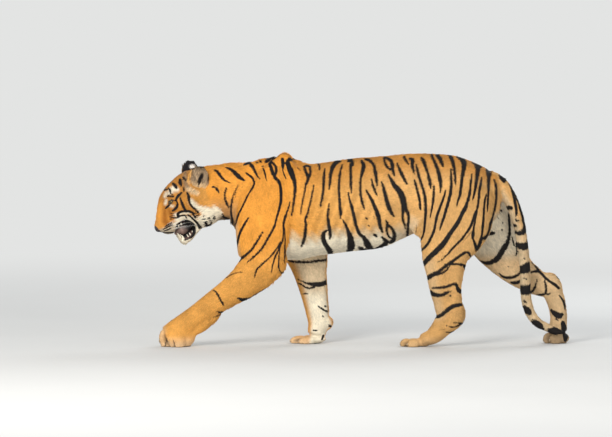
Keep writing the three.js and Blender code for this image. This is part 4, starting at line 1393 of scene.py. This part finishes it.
# ---------------- the coat
def roots_on_skin(weight, spacing):
    """Places spread evenly over the skin: their triangle, and their shares of its corners.

    weight is the share of the full density at each skin point; spacing is in millimetres.
    """
    a, b, c = (skin_points[skin_faces[:, i]] for i in range(3))
    area = np.linalg.norm(np.cross(b - a, c - a), axis=1) / 2 * weight[skin_faces].mean(1)
    total = np.cumsum(area)
    count = int(total[-1] / spacing ** 2)
    picks = (np.arange(count) + rng.random(count)) * total[-1] / count
    face = np.minimum(np.searchsorted(total, picks), len(area) - 1)
    u, v = rng.random((2, count))
    over = u + v > 1
    u[over], v[over] = 1 - u[over], 1 - v[over]
    return face, np.stack([1 - u - v, u, v], axis=1)


def read(values, face, shares):
    """Values of the skin's points at places on its triangles."""
    corners = values[skin_faces[face]]
    return np.einsum("ij,ij...->i...", shares, corners)


ROOT_DEPTH = 1.2  # how deep a tuft's root is sunk in the skin
WIDEST = 0.38  # where a tuft is widest, in shares of its length


def tuft_shape(length, width, rise):
    """A tuft's four corners as (along, across, up): a sunk root, two edges and a raised tip."""
    zero = np.zeros_like(length)
    climb = rise + ROOT_DEPTH
    edge = WIDEST * climb - ROOT_DEPTH - 0.5
    return np.stack([
        np.stack([zero, zero, zero - ROOT_DEPTH], 1),
        np.stack([WIDEST * length, -width / 2, edge], 1),
        np.stack([WIDEST * length, width / 2, edge], 1),
        np.stack([length, zero, climb - ROOT_DEPTH], 1),
    ], axis=1)


TUFT_FACES = np.array([(0, 1, 2), (0, 3, 1), (0, 2, 3), (1, 3, 2)])
TUFT_PATCH = np.array([(0.5, 0.0), (0.1, 0.4), (0.9, 0.4), (0.5, 1.0)])
LOCK_ROOT = 1.5  # how deep a lock's root is sunk in the skin
LOCK_RINGS = ((0.3, 1.0), (0.68, 0.72))  # where along a lock, and in what share of its width


def lock_shape(length, width, rise, droop):
    """A lock's eight corners as (along, across, up): a root, two rings of three and a tip.

    With s the share of the length, it climbs by rise times s(2 - s) and droops by s squared.
    """
    zero = np.zeros_like(length)

    def height(share):
        return -LOCK_ROOT + rise * share * (2 - share) - droop * share ** 2 + LOCK_ROOT * share

    corners = [np.stack([zero, zero, height(0.0)], 1)]
    for share, size in LOCK_RINGS:
        half = width / 2 * size
        for across, up in ((-1, -0.35), (1, -0.35), (0, 0.5)):
            corners.append(np.stack([share * length, across * half, height(share) + up * half], 1))
    corners.append(np.stack([length, zero, height(1.0)], 1))
    return np.stack(corners, axis=1)


LOCK_FACES = np.array([(0, 2, 1), (0, 3, 2), (0, 1, 3),
                       (1, 2, 5), (1, 5, 4), (2, 3, 6), (2, 6, 5), (3, 1, 4), (3, 4, 6),
                       (7, 4, 5), (7, 5, 6), (7, 6, 4)])
LOCK_PATCH = np.array([(0.5, 0.0), (0.0, 0.3), (1.0, 0.3), (0.5, 0.35),
                       (0.1, 0.7), (0.9, 0.7), (0.5, 0.7), (0.5, 1.0)])


def coat_group(points, part):
    """Number of the coat piece that each root belongs to, and each piece's name and tube."""
    names, number = [], np.zeros(len(points), int)
    left = points[:, 1] < 0
    bands = (("chest", -1200, -280), ("flank", -280, 90), ("rump", 90, 1200))
    for side, on_side in (("left", left), ("right", ~left)):
        for band, start, stop in bands:
            pick = (part == PART["trunk"]) & on_side & (points[:, 0] >= start) & (points[:, 0] < stop)
            number[pick] = len(names)
            names.append((f"{band}_{side}", "trunk"))
    for name in ("neck", "tail", *LEGS):
        number[part == PART[name]] = len(names)
        names.append((name, name))
    number[part >= PART["head"]] = len(names)
    names.append(("head", "head"))
    return number, names


def unwrapped(points, tube):
    """Places on an unwrap round a tube, from 0 to 1: round it, and along it."""
    t, _, across, up, past = tube.section(points)
    angle = np.arctan2(across / np.interp(t, tube.t, tube.width), up / np.interp(t, tube.t, tube.depth))
    along = t + past / 60
    flat = np.stack([angle, along], axis=1)
    low, high = flat.min(0), flat.max(0)
    return 0.01 + 0.97 * (flat - low) / np.maximum(high - low, 1e-6)


SWAY = 0.16  # spread of the angles between the hairs and the lie of the coat, in radians
PATCH_SIZE = 0.003  # of a tuft on the OFBake map


def grow(kind, face, shares, shape, faces, patch, finish, reads):
    """Meshes of hair: shape is each tuft's corners as (along, across, up) of its root's own directions.

    reads are shares of the tuft's length at which the stripes are read, each with the corners that take them.
    """
    root, normal = read(skin_points, face, shares), unit(read(skin_normals, face, shares))
    lie = read(skin_lie, face, shares)
    sway = rng.normal(0, SWAY, len(root))[:, None]
    lie = unit(lie - (lie * normal).sum(1, keepdims=True) * normal)
    lie = unit(lie + sway * np.cross(normal, lie))
    side = np.cross(lie, normal)
    along, across, up = (shape[..., i:i + 1] for i in range(3))
    corners = root[:, None] + along * lie[:, None] + across * side[:, None] + up * normal[:, None]
    part, sheet = skin_part[skin_faces[face, 0]], skin_sheet[skin_faces[face, 0]]
    corners[..., 2] = np.maximum(corners[..., 2], 0.3)
    mark = np.empty(corners.shape[:2])
    for share, takers in reads:
        at = root + share * shape[:, -1, :1] * lie
        mark[:, takers] = marks(at, part, sheet)[:, None]
    tone = rng.random(len(root))
    streak = 1 + read(skin_streaks, face, shares) * (2 * rng.random(len(root)) - 1)
    colour = read(skin_colour, face, shares) * streak[:, None]
    # painted shade in the creases between the toes
    colour = blended(colour, UMBER * 0.3, 0.65 * cleft(root))
    number, names = coat_group(root, part)
    size = shape.shape[1]
    for index, (name, tube) in enumerate(names):
        pick = np.flatnonzero(number == index)
        if len(pick) == 0:
            continue
        every = (faces[None] + (np.arange(len(pick)) * size)[:, None, None]).reshape(-1, 3)
        uv = unwrapped(root[pick], PART_TUBES[tube])[:, None] + PATCH_SIZE * patch[None]
        values = {
            "ground_colour": np.repeat(colour[pick], size, axis=0),
            "mark": mark[pick].ravel(),
            "strand": np.repeat(tone[pick], size),
            "skin_normal": np.repeat(normal[pick], size, axis=0),
        }
        thing = make_mesh(f"{kind}_{name}", corners[pick].reshape(-1, 3), every, finish, values,
                          uv.reshape(-1, 2)[every.ravel()], smooth_faces=False)


on_head = skin_part >= PART["head"]
on_ear = skin_part >= PART["ear_left"]
before_ear = ink(skin_points[:, [0, 2]], EAR_HAIR, 8) * (on_head & ~on_ear)
from_nose = np.linalg.norm(skin_points - HEAD.out((250, 0, 24)), axis=1)
skin_streaks = np.maximum(np.where(on_ear, 0.55, 0.06), 0.5 * before_ear)  # how much tufts differ in tone


def hair_cover():
    """Share of full density of the hair at each skin point: none on bare parts, the nose and the lids."""
    cover = (1 - smooth(0.2, 0.5, skin_bare)) * (1 - 0.5 * cleft(skin_points))
    cover = cover * smooth(20, 34, from_nose)
    for slit in EYE_SLITS.values():
        cover = cover * smooth(4.5, 7, slit.value(skin_points))
    return cover


def short_hair():
    """Length of the short hair at each skin point: less on feet and ears, least at the nose and mouth."""
    length = np.full(len(skin_points), 14.0)
    for limb in LEGS:
        pick = skin_part == PART[limb]
        length[pick] = 13 - 5 * smooth(140, 50, skin_points[pick, 2])
    length[on_head] = 6.5 + 6 * smooth(60, 220, from_nose[on_head])
    length[on_head] *= 0.4 + 0.6 * smooth(8, 30, mouth.value(skin_points[on_head]))
    length[on_ear] = 8
    return length


hairy = hair_cover()
short_length = short_hair()
SPACING = 3.3
face, shares = roots_on_skin(hairy * np.where(on_head, 2.0, 1.0), SPACING)
length = read(short_length, face, shares) * rng.uniform(0.75, 1.2, len(face))
width = (1.7 + length * 0.09) * 1.0
shape = tuft_shape(length, width, length * rng.uniform(0.12, 0.24, len(face)))
grow("coat", face, shares, shape, TUFT_FACES, TUFT_PATCH, COAT_FINISH, ((0.55, [0, 1, 2, 3]),))


def long_hair():
    """Share of full density and length of the long hair at each skin point."""
    x, _, z = skin_points.T
    weight, length = np.zeros(len(skin_points)), np.full(len(skin_points), 24.0)

    def more(where, share, size):
        stronger = where * share > weight
        weight[:] = np.maximum(weight, where * share)
        length[stronger] = size

    local = HEAD.into(skin_points)
    ahead, aside, above = local[:, 0], np.abs(local[:, 1]), local[:, 2]
    head = on_head & ~on_ear
    ruff = head * smooth(110, 60, ahead) * smooth(36, 0, above) * smooth(50, 74, aside)
    more(ruff, 1.0, 27)
    more(head * smooth(-84, -100, above) * smooth(40, 90, ahead), 0.9, 12)  # chin
    more(head * smooth(60, 10, ahead) * smooth(-40, -70, above), 0.8, 18)  # throat
    more(before_ear, 0.9, 20)
    for side in ("left", "right"):
        cup = EARS[side][1]
        in_cup = cup.value(skin_points)
        ear_part = skin_part == PART["ear_" + side]
        front, _, high = ((skin_points - cup.centre) @ cup.matrix).T
        more(ear_part * smooth(6, 0, in_cup) * smooth(-8, 12, front) * smooth(26, 6, high), 0.9, 28)
        more(ear_part * smooth(8, 0, in_cup) * smooth(-20, -40, high), 0.9, 26)
    for name, tube in (("trunk", trunk), ("neck", neck)):
        pick = skin_part == PART[name]
        rise = rise_on(tube, skin_points)
        more(pick * smooth(-0.78, -0.95, rise) * smooth(220, 90, x), 0.8, 20)  # belly and throat
        more(pick * smooth(0.9, 0.98, rise), 0.35, 20)  # ridge of the back
    for limb in LEGS:
        pick = skin_part == PART[limb]
        inner, rear = limb_place(limb, skin_points)
        more(pick * smooth(0.72, 0.95, rear) * smooth(90, 150, z), 0.8, 24)  # backs of the limbs
        more(pick * smooth(0.2, 0.7, inner) * smooth(300, 420, z), 0.3, 24)
    more(skin_part == PART["tail"], 0.8, 20)
    return weight * hairy, length


LOCK_SPACING = 5.0
long_weight, long_length = long_hair()
face, shares = roots_on_skin(long_weight, LOCK_SPACING)
length = read(long_length, face, shares) * rng.uniform(0.7, 1.15, len(face))
shape = lock_shape(length, 2.2 + length * 0.07, length * rng.uniform(0.16, 0.3, len(face)), length * 0.12)
grow("locks", face, shares, shape, LOCK_FACES, LOCK_PATCH, LOCK_FINISH,
     ((0.3, [0, 1, 2, 3]), (0.8, [4, 5, 6, 7])))


# ---------------- eyes, nose, mouth and claws
def circles(across, up, around):
    """Points of circles: cosine times across plus sine times up, for each row of both."""
    angle = 2 * np.pi * np.arange(around) / around
    return np.cos(angle)[None, :, None] * across[:, None] + np.sin(angle)[None, :, None] * up[:, None]


def bands(rings, around, looped=False):
    """Two triangles for each cell between neighbouring rings; looped joins the last ring to the first."""
    row, column = np.meshgrid(np.arange(rings - 1 + looped), np.arange(around), indexing="ij")
    a = (row * around + column).ravel()
    b = (row * around + (column + 1) % around).ravel()
    next_a, next_b = (a + around) % (rings * around), (b + around) % (rings * around)
    return np.vstack([np.stack([a, b, next_b], 1), np.stack([a, next_b, next_a], 1)])


def capped_bands(rings, around):
    """Bands with a fan at each end; the poles are the two points that follow the rings."""
    ids = np.arange(around)
    after = (ids + 1) % around
    last, pole = (rings - 1) * around, rings * around
    first_fan = np.stack([np.full(around, pole), after, ids], 1)
    last_fan = np.stack([np.full(around, pole + 1), last + ids, last + after], 1)
    return np.vstack([bands(rings, around), first_fan, last_fan])


def sweep(stations, around=10, side=(0, 1, 0), rings=14):
    """A closed horn or hair: circles of the stations' radius carried along the curve through them.

    Stations are (x, y, z, radius).
    """
    stations, side = np.array(stations, float), np.array(side, float)
    t = np.linspace(0, len(stations) - 1, rings)
    line = curve(stations[:, :3], t)
    radius = np.maximum(np.interp(t, np.arange(len(stations)), stations[:, 3]), 0.05)
    tangent = unit(np.gradient(line, axis=0))
    across = unit(side - (tangent @ side)[:, None] * tangent)
    ring = circles(across, np.cross(tangent, across), around)
    points = (line[:, None] + ring * radius[:, None, None]).reshape(-1, 3)
    poles = line[0] - tangent[0] * radius[0] * 0.4, line[-1] + tangent[-1] * radius[-1]
    points = np.vstack([points, *poles])
    return points, outward(points, capped_bands(rings, around))


def together(parts):
    """Points and triangles of several meshes as one."""
    points, faces, shift = [], [], 0
    for piece_points, piece_faces in parts:
        points.append(piece_points)
        faces.append(piece_faces + shift)
        shift += len(piece_points)
    return np.vstack(points), np.vstack(faces)


def eyeball(side):
    """A globe with a bulging cornea; gaze is each point's angle from the middle of the pupil."""
    gaze = GAZE * (1, side, 1)
    level = unit(np.cross((0, 0, 1), gaze))
    rings, around = 40, 48
    angle = np.linspace(0, np.pi, rings + 2)[1:-1]
    bulge = 1 + 0.05 * smooth(0.75, 0.2, angle)
    equator = circles(level[None], np.cross(gaze, level)[None], around)
    ring = np.cos(angle)[:, None, None] * gaze + np.sin(angle)[:, None, None] * equator
    local = (ring * (EYE["radius"] * bulge)[:, None, None]).reshape(-1, 3)
    poles = np.array([gaze * EYE["radius"] * 1.05, -gaze * EYE["radius"]])
    points = HEAD.out(eye_centre(side) + np.vstack([local, poles]))
    gaze_angle = np.concatenate([np.repeat(angle, around), [0, np.pi]])
    return points, outward(points, capped_bands(rings, around)), gaze_angle


def eye_finish():
    """Amber iris with fine rays round a black pupil, under a wet surface."""
    finish, tree = new_finish("tiger eye")
    gaze = add(tree, "Attribute", attribute_name="gaze").outputs["Fac"]
    place_on = add(tree, "TexCoord").outputs["Object"]
    rays = add(tree, "TexNoise", {"Vector": place_on, "Scale": 620.0, "Detail": 2.0})
    wobble = add(tree, "Math", {0: rays.outputs[0], 1: 0.08, 2: gaze}, operation="MULTIPLY_ADD")
    ramp = tree.nodes.new("ShaderNodeValToRGB")
    stops = ((0.0, (6, 5, 5)), (0.25, (8, 6, 5)),  # pupil
             (0.3, (124, 96, 34)), (0.5, (176, 148, 62)), (0.66, (140, 108, 40)),
             (0.72, (36, 22, 12)), (0.9, (60, 46, 38)), (1.0, (70, 52, 44)))
    while len(ramp.color_ramp.elements) < len(stops):
        ramp.color_ramp.elements.new(0.5)
    for element, (at, colour) in zip(ramp.color_ramp.elements, stops):
        element.position = at
        element.color = rgba(tint(*colour))
    tree.links.new(wobble.outputs[0], ramp.inputs[0])
    bump = add(tree, "Bump", {"Height": rays.outputs[0], "Strength": 0.05, "Distance": 0.0005})
    shader = add(tree, "BsdfPrincipled", {"Base Color": ramp.outputs[0], "Roughness": 0.12,
                                          "Coat Weight": 1.0, "Coat Roughness": 0.03,
                                          "Normal": bump.outputs["Normal"]})
    output(tree, shader)
    return finish


def surface_finish(name, low, high, roughness, scale, bump_height, spread=0.2, deep=None):
    """A mottled surface between two colours, pebbled by noise, with its gloss varying.

    Where the mesh's shade falls to 0 the colour turns to deep, if that is given.
    """
    finish, tree = new_finish(name)
    place_on = add(tree, "TexCoord").outputs["Object"]
    mottle = add(tree, "TexNoise", {"Vector": place_on, "Scale": scale, "Detail": 4.0})
    pebble = add(tree, "TexVoronoi", {"Vector": place_on, "Scale": scale * 3.2})
    colour = add(tree, "Mix", {"Factor": mottle.outputs[0], "A": rgba(low), "B": rgba(high)},
                 data_type="RGBA")
    rough = add(tree, "MapRange", {"Value": mottle.outputs[0], "To Min": roughness - spread / 2,
                                   "To Max": roughness + spread / 2})
    bump = add(tree, "Bump", {"Height": pebble.outputs["Distance"], "Strength": 0.6,
                              "Distance": bump_height})
    if deep is not None:
        shade = add(tree, "Attribute", attribute_name="shade")
        colour = add(tree, "Mix", {"Factor": shade.outputs["Fac"], "A": rgba(deep),
                                   "B": colour.outputs["Result"]}, data_type="RGBA")
    shader = add(tree, "BsdfPrincipled", {"Base Color": colour.outputs["Result"],
                                          "Roughness": rough.outputs[0],
                                          "Normal": bump.outputs["Normal"]})
    output(tree, shader)
    return finish


EYE_FINISH = eye_finish()
# near-black: the dark nose leather, with painted shade of the nostrils
NOSE_FINISH = surface_finish("nose leather", tint(22, 17, 18), tint(54, 38, 38), 0.45, 240.0, 0.0008)
RIM_FINISH = surface_finish("lid rims", tint(16, 12, 12), tint(34, 26, 24), 0.4, 300.0, 0.0004)
# the tongue's rear turns to the painted shade of the throat
TONGUE_FINISH = surface_finish("tongue", tint(66, 46, 42), tint(166, 136, 122), 0.45, 70.0, 0.002,
                               deep=THROAT_SHADE)
TOOTH_FINISH = surface_finish("teeth", tint(222, 210, 178), tint(244, 238, 222), 0.28, 120.0, 0.0002, 0.12)
CLAW_FINISH = surface_finish("claws", tint(150, 132, 108), tint(206, 192, 168), 0.35, 160.0, 0.0003)
WHISKER_FINISH = surface_finish("whiskers", tint(226, 222, 214), tint(250, 248, 244), 0.4, 90.0, 0.0001)

for name, side in (("left", 1), ("right", -1)):
    points, faces, gaze_angle = eyeball(side)
    ball = make_mesh(f"eyeball_{name}", points, faces, EYE_FINISH, {"gaze": gaze_angle})
    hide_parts(f"eye_{name}")


def lid_rim(side):
    """The dark edge of the lids: an almond ring on the globe, drawn out to the tear duct."""
    level, gaze, upward = (HEAD.matrix.T @ EYE_SLITS[side].matrix).T
    if level[0] < 0:
        level = -level
    steps, around = 32, 8
    angle = np.linspace(0, 2 * np.pi, steps + 1)[:-1]
    duct = np.exp(-(((angle + np.pi) % (2 * np.pi) - np.pi) / 0.35) ** 2)
    wide = np.cos(angle) * 13.5 + 4.5 * duct
    high = np.where(np.sin(angle) > 0, 5.8, 4.8)
    tall = np.sign(np.sin(angle)) * np.abs(np.sin(angle)) ** 1.2 * high - 2.0 * duct
    way = unit(gaze * 15.5 + wide[:, None] * level + tall[:, None] * upward)
    centre = eye_centre(side)
    ring = HEAD.out(centre + way * (EYE["radius"] + 1.9))
    out = unit(ring - HEAD.out(centre))
    cross = np.cross(unit(np.roll(ring, -1, 0) - np.roll(ring, 1, 0)), out)
    radius = 2.1 + 0.8 * duct
    points = (ring[:, None] + circles(out * 0.8, cross, around) * radius[:, None, None]).reshape(-1, 3)
    return points, outward(points, bands(steps, around, looped=True))


rims = make_mesh("lid_rims", *together([lid_rim(1), lid_rim(-1)]), RIM_FINISH)

NOSE = Oval((238, 0, 29), (13, 27, 19), -20, HEAD)
NOSE_WINGS = [(Oval((234, s * 15, 22), (13, 12, 12), axes=HEAD), 6) for s in (1, -1)]
NOSE_HOLES = [Oval((250, s * 13.5, 24), (12, 6, 6.5), 20, HEAD) for s in (1, -1)]
PHILTRUM = Oval((251, 0, 12), (9, 1.6, 13), -12, HEAD)


def nose_value(points):
    """A soft triangle with wings, less its two nostrils and the cleft below them."""
    value = joined(points, [(NOSE, 0)] + NOSE_WINGS)
    for hole in NOSE_HOLES + [PHILTRUM]:
        value = -merge(-value, hole.value(points), 3)
    return value


tongue_tube = Tube(TONGUE_LINE, ends=(0.6, 1), axes=HEAD, step=4)


def tongue_value(points):
    """The tongue with a bell-shaped groove along its middle."""
    _, aside, above = HEAD.into(points).T
    return tongue_tube.value(points) + 1.8 * np.exp(-(aside / 4) ** 2) * smooth(-84, -60, above)


def organ(name, value, shape, voxel, finish, node):
    """A small piece from a field near a shape; its shade falls to 0 towards the throat."""
    points, quads = polygonize(value, shape.low - 16, shape.high + 16, voxel)
    points, _ = settle(points, value)
    shade = {"shade": smooth(116, 150, HEAD.into(points)[:, 0])}
    thing = make_mesh(name, points, outward(points, quads), finish, shade)
    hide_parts(node)


organ("nose_leather", nose_value, NOSE, 1.7, NOSE_FINISH, "nose")
organ("tongue_body", tongue_value, tongue_tube, 2.4, TONGUE_FINISH, "tongue")


def in_head(stations):
    """Stations of (x, y, z, radius) in the head's frame, as the body's."""
    stations = np.array(stations, float)
    stations[:, :3] = HEAD.out(stations[:, :3])
    return stations


def canine(x, y, z, drop, lean):
    """A fang from its root near (x, y, z) to a tip that lies lower by the drop, curved by the lean."""
    stations = [(x - lean, y, z, 7.6), (x - lean * 0.2, y * 0.99, z + drop * 0.3, 6.8),
                (x, y * 0.97, z + drop * 0.6, 5.0), (x - lean * 0.35, y * 0.94, z + drop, 1.2)]
    return sweep(in_head(stations), around=14)


for jaw_name, x, y, z, drop, lean in (("upper", 196, 25, -2, -30, 6), ("lower", 163, 24, -90, 36, -8)):
    for name, side in (("left", 1), ("right", -1)):
        points, faces = canine(x, side * y, z, drop, lean)
        tooth = make_mesh(f"{jaw_name}_canine_{name}", points, faces, TOOTH_FINISH)
        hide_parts(f"canine_{jaw_name}_{name}")


def cheek_tooth(x, y, z, climb, size):
    """A short cone from its root, leaning a little to the middle; climb is half its height."""
    tip = (x, y - 0.5 * np.sign(y), z + 2 * climb, 1.0)
    return sweep(in_head([(x, y, z, size), (x, y, z + climb, size * 0.8), tip]), around=9, rings=8)


INCISOR_LINES = (  # ahead, above and radius
    ((214, -2, 3.4), (215, -11, 2.8), (214, -18, 1.4)),
    ((174, -58, 3.0), (175, -49, 2.6), (175, -43, 1.2)),
)
small_teeth = []
for offset in (-14, -8.5, -3, 3, 8.5, 14):
    for line in INCISOR_LINES:
        stations = [(x - abs(offset) * 0.25, offset, z, radius) for x, z, radius in line]
        small_teeth.append(sweep(in_head(stations), around=8, rings=7))
for side in (1, -1):
    for place_back, size in ((168, 3.4), (154, 4.4), (138, 5.0)):
        small_teeth.append(cheek_tooth(place_back, side * 34, -4, -7, size))
        small_teeth.append(cheek_tooth(place_back - 28, side * 31, -84, 7, size))
row_of_teeth = make_mesh("small_teeth", *together(small_teeth), TOOTH_FINISH)

claws = []
for limb in LEGS:
    _, size, _, rise = PAWS[limb]
    tall = size["height"] * rise
    for step in TOE_STEPS:
        x = (0.0 if abs(step) < 1 else 0.25) * size["length"]
        y = step * size["width"] * TOE_PITCH
        stations = np.array([(x + 16, y, tall * 0.46, 3.6), (x + 6, y, tall * 0.42, 3.2),
                             (x + 1, y, tall * 0.32, 2.2), (x + 2, y, tall * 0.2, 0.7)])
        stations[:, :3] = paw_axes(limb).out(stations[:, :3])
        claws.append(sweep(stations, around=8, rings=9))
claw_set = make_mesh("claws", *together(claws), CLAW_FINISH)


def whisker(side, row, column):
    """A thin hair from its place on the whisker pad, swept back and bending down."""
    start = np.array([180 + 8 * column, side * (54 - 2.4 * column), 24 - 9 * row + 2.5 * column])
    reach = rng.uniform(70, 120) * (0.6 + 0.08 * (6 - column))
    way = unit((-0.35 - 0.04 * (5 - column), side * 0.62, 0.2 - 0.1 * row))
    bend = np.array([-0.25 * reach, 0, -0.22 * reach])
    stations = [(*(start + way * out + bend * sag), radius) for out, sag, radius in
                ((-5, 0, 0.36), (reach * 0.4, 0, 0.3), (reach * 0.75, 0.3, 0.2), (reach, 0.7, 0.1))]
    return sweep(in_head(stations), around=4, rings=9, side=(0, 0, 1))


whiskers = [whisker(side, row, column) for side in (1, -1) for row in range(4) for column in range(4)]
whisker_set = make_mesh("whiskers", *together(whiskers), WHISKER_FINISH)

# ---------------- studio
FLOOR_HALF = 160.0  # metres from the middle to an edge
BACKDROP = tint(227, 228, 227)


def pale_floor():
    """A pale matt floor with the faintest mottling, which far away turns into the backdrop's own light."""
    finish, tree = new_finish("studio floor")
    place_on = add(tree, "TexCoord").outputs["Object"]
    mottle = add(tree, "TexNoise", {"Vector": place_on, "Scale": 1.2, "Detail": 3.0})
    colour = add(tree, "Mix", {"Factor": mottle.outputs[0], "A": rgba(tint(205, 205, 203)),
                               "B": rgba(tint(212, 212, 210))}, data_type="RGBA")
    shader = add(tree, "BsdfPrincipled", {"Base Color": colour.outputs["Result"], "Roughness": 0.9,
                                          "Specular IOR Level": 0.1})
    away = add(tree, "VectorMath", {0: place_on}, operation="LENGTH")
    far = add(tree, "MapRange", {"Value": away.outputs["Value"], "From Min": 1.2, "From Max": 7.0},
              interpolation_type="SMOOTHSTEP")
    glow = add(tree, "Emission", {"Color": rgba(BACKDROP), "Strength": 1.0})
    either = add(tree, "MixShader", {0: far.outputs[0], 1: shader.outputs[0], 2: glow.outputs[0]})
    output(tree, either)
    return finish


corners = FLOOR_HALF * np.array([(-1, -1), (1, -1), (1, 1), (-1, 1)])
floor_mesh = bpy.data.meshes.new("floor")
floor_mesh.from_pydata([(x, y, 0.0) for x, y in corners], [], [(0, 1, 2, 3)])
floor_mesh.materials.append(pale_floor())
floor = bpy.data.objects.new("floor", floor_mesh)
bpy.context.scene.collection.objects.link(floor)

world = bpy.data.worlds.new("studio")
bpy.context.scene.world = world
world.use_nodes = True
sky = world.node_tree
sky.nodes.clear()
camera_ray = add(sky, "LightPath").outputs["Is Camera Ray"]
fill = add(sky, "Background", {"Color": rgba((0.96, 0.98, 1.0)), "Strength": 0.7})
seen = add(sky, "Background", {"Color": rgba(BACKDROP), "Strength": 1.0})
either = add(sky, "MixShader", {0: camera_ray, 1: fill.outputs[0], 2: seen.outputs[0]})
sky.links.new(either.outputs[0], sky.nodes.new("ShaderNodeOutputWorld").inputs["Surface"])


def lamp(name, at, towards, size, power, colour=(1, 1, 1)):
    """A square soft lamp in metres, facing a place."""
    light = bpy.data.lights.new(name, "AREA")
    light.size, light.energy, light.color = size, power, colour
    thing = bpy.data.objects.new(name, light)
    thing.location = at
    away = np.array(at, float) - np.array(towards, float)
    thing.rotation_mode = "QUATERNION"
    thing.rotation_quaternion = Vector(away).to_track_quat("Z", "Y")
    bpy.context.scene.collection.objects.link(thing)
    return thing


lamp("key", (-2.8, -5.9, 3.2), (0, 0, 0.5), 2.4, 355, (1.0, 0.97, 0.92))
lamp("fill", (3.4, -5.2, 1.3), (0.5, 0, 0.4), 2.2, 75, (1.0, 0.98, 0.95))
lamp("rim", (2.5, 3.6, 3.6), (0, 0, 0.6), 2.5, 110, (0.95, 0.98, 1.0))

LOOK_AT = place((-261, 0, 601))
ELEVATION = math.radians(3.5)
DISTANCE = 32.3
camera = bpy.data.cameras.new("camera")
camera.lens, camera.sensor_width = 400, 36
camera.clip_end = 200
viewer = bpy.data.objects.new("camera", camera)
back = np.array([0, -math.cos(ELEVATION), math.sin(ELEVATION)])
viewer.location = LOOK_AT + back * DISTANCE
viewer.rotation_mode = "QUATERNION"
viewer.rotation_quaternion = Vector(back).to_track_quat("Z", "Y")
bpy.context.scene.collection.objects.link(viewer)
bpy.context.scene.camera = viewer
bpy.context.scene.view_settings.view_transform = "Standard"
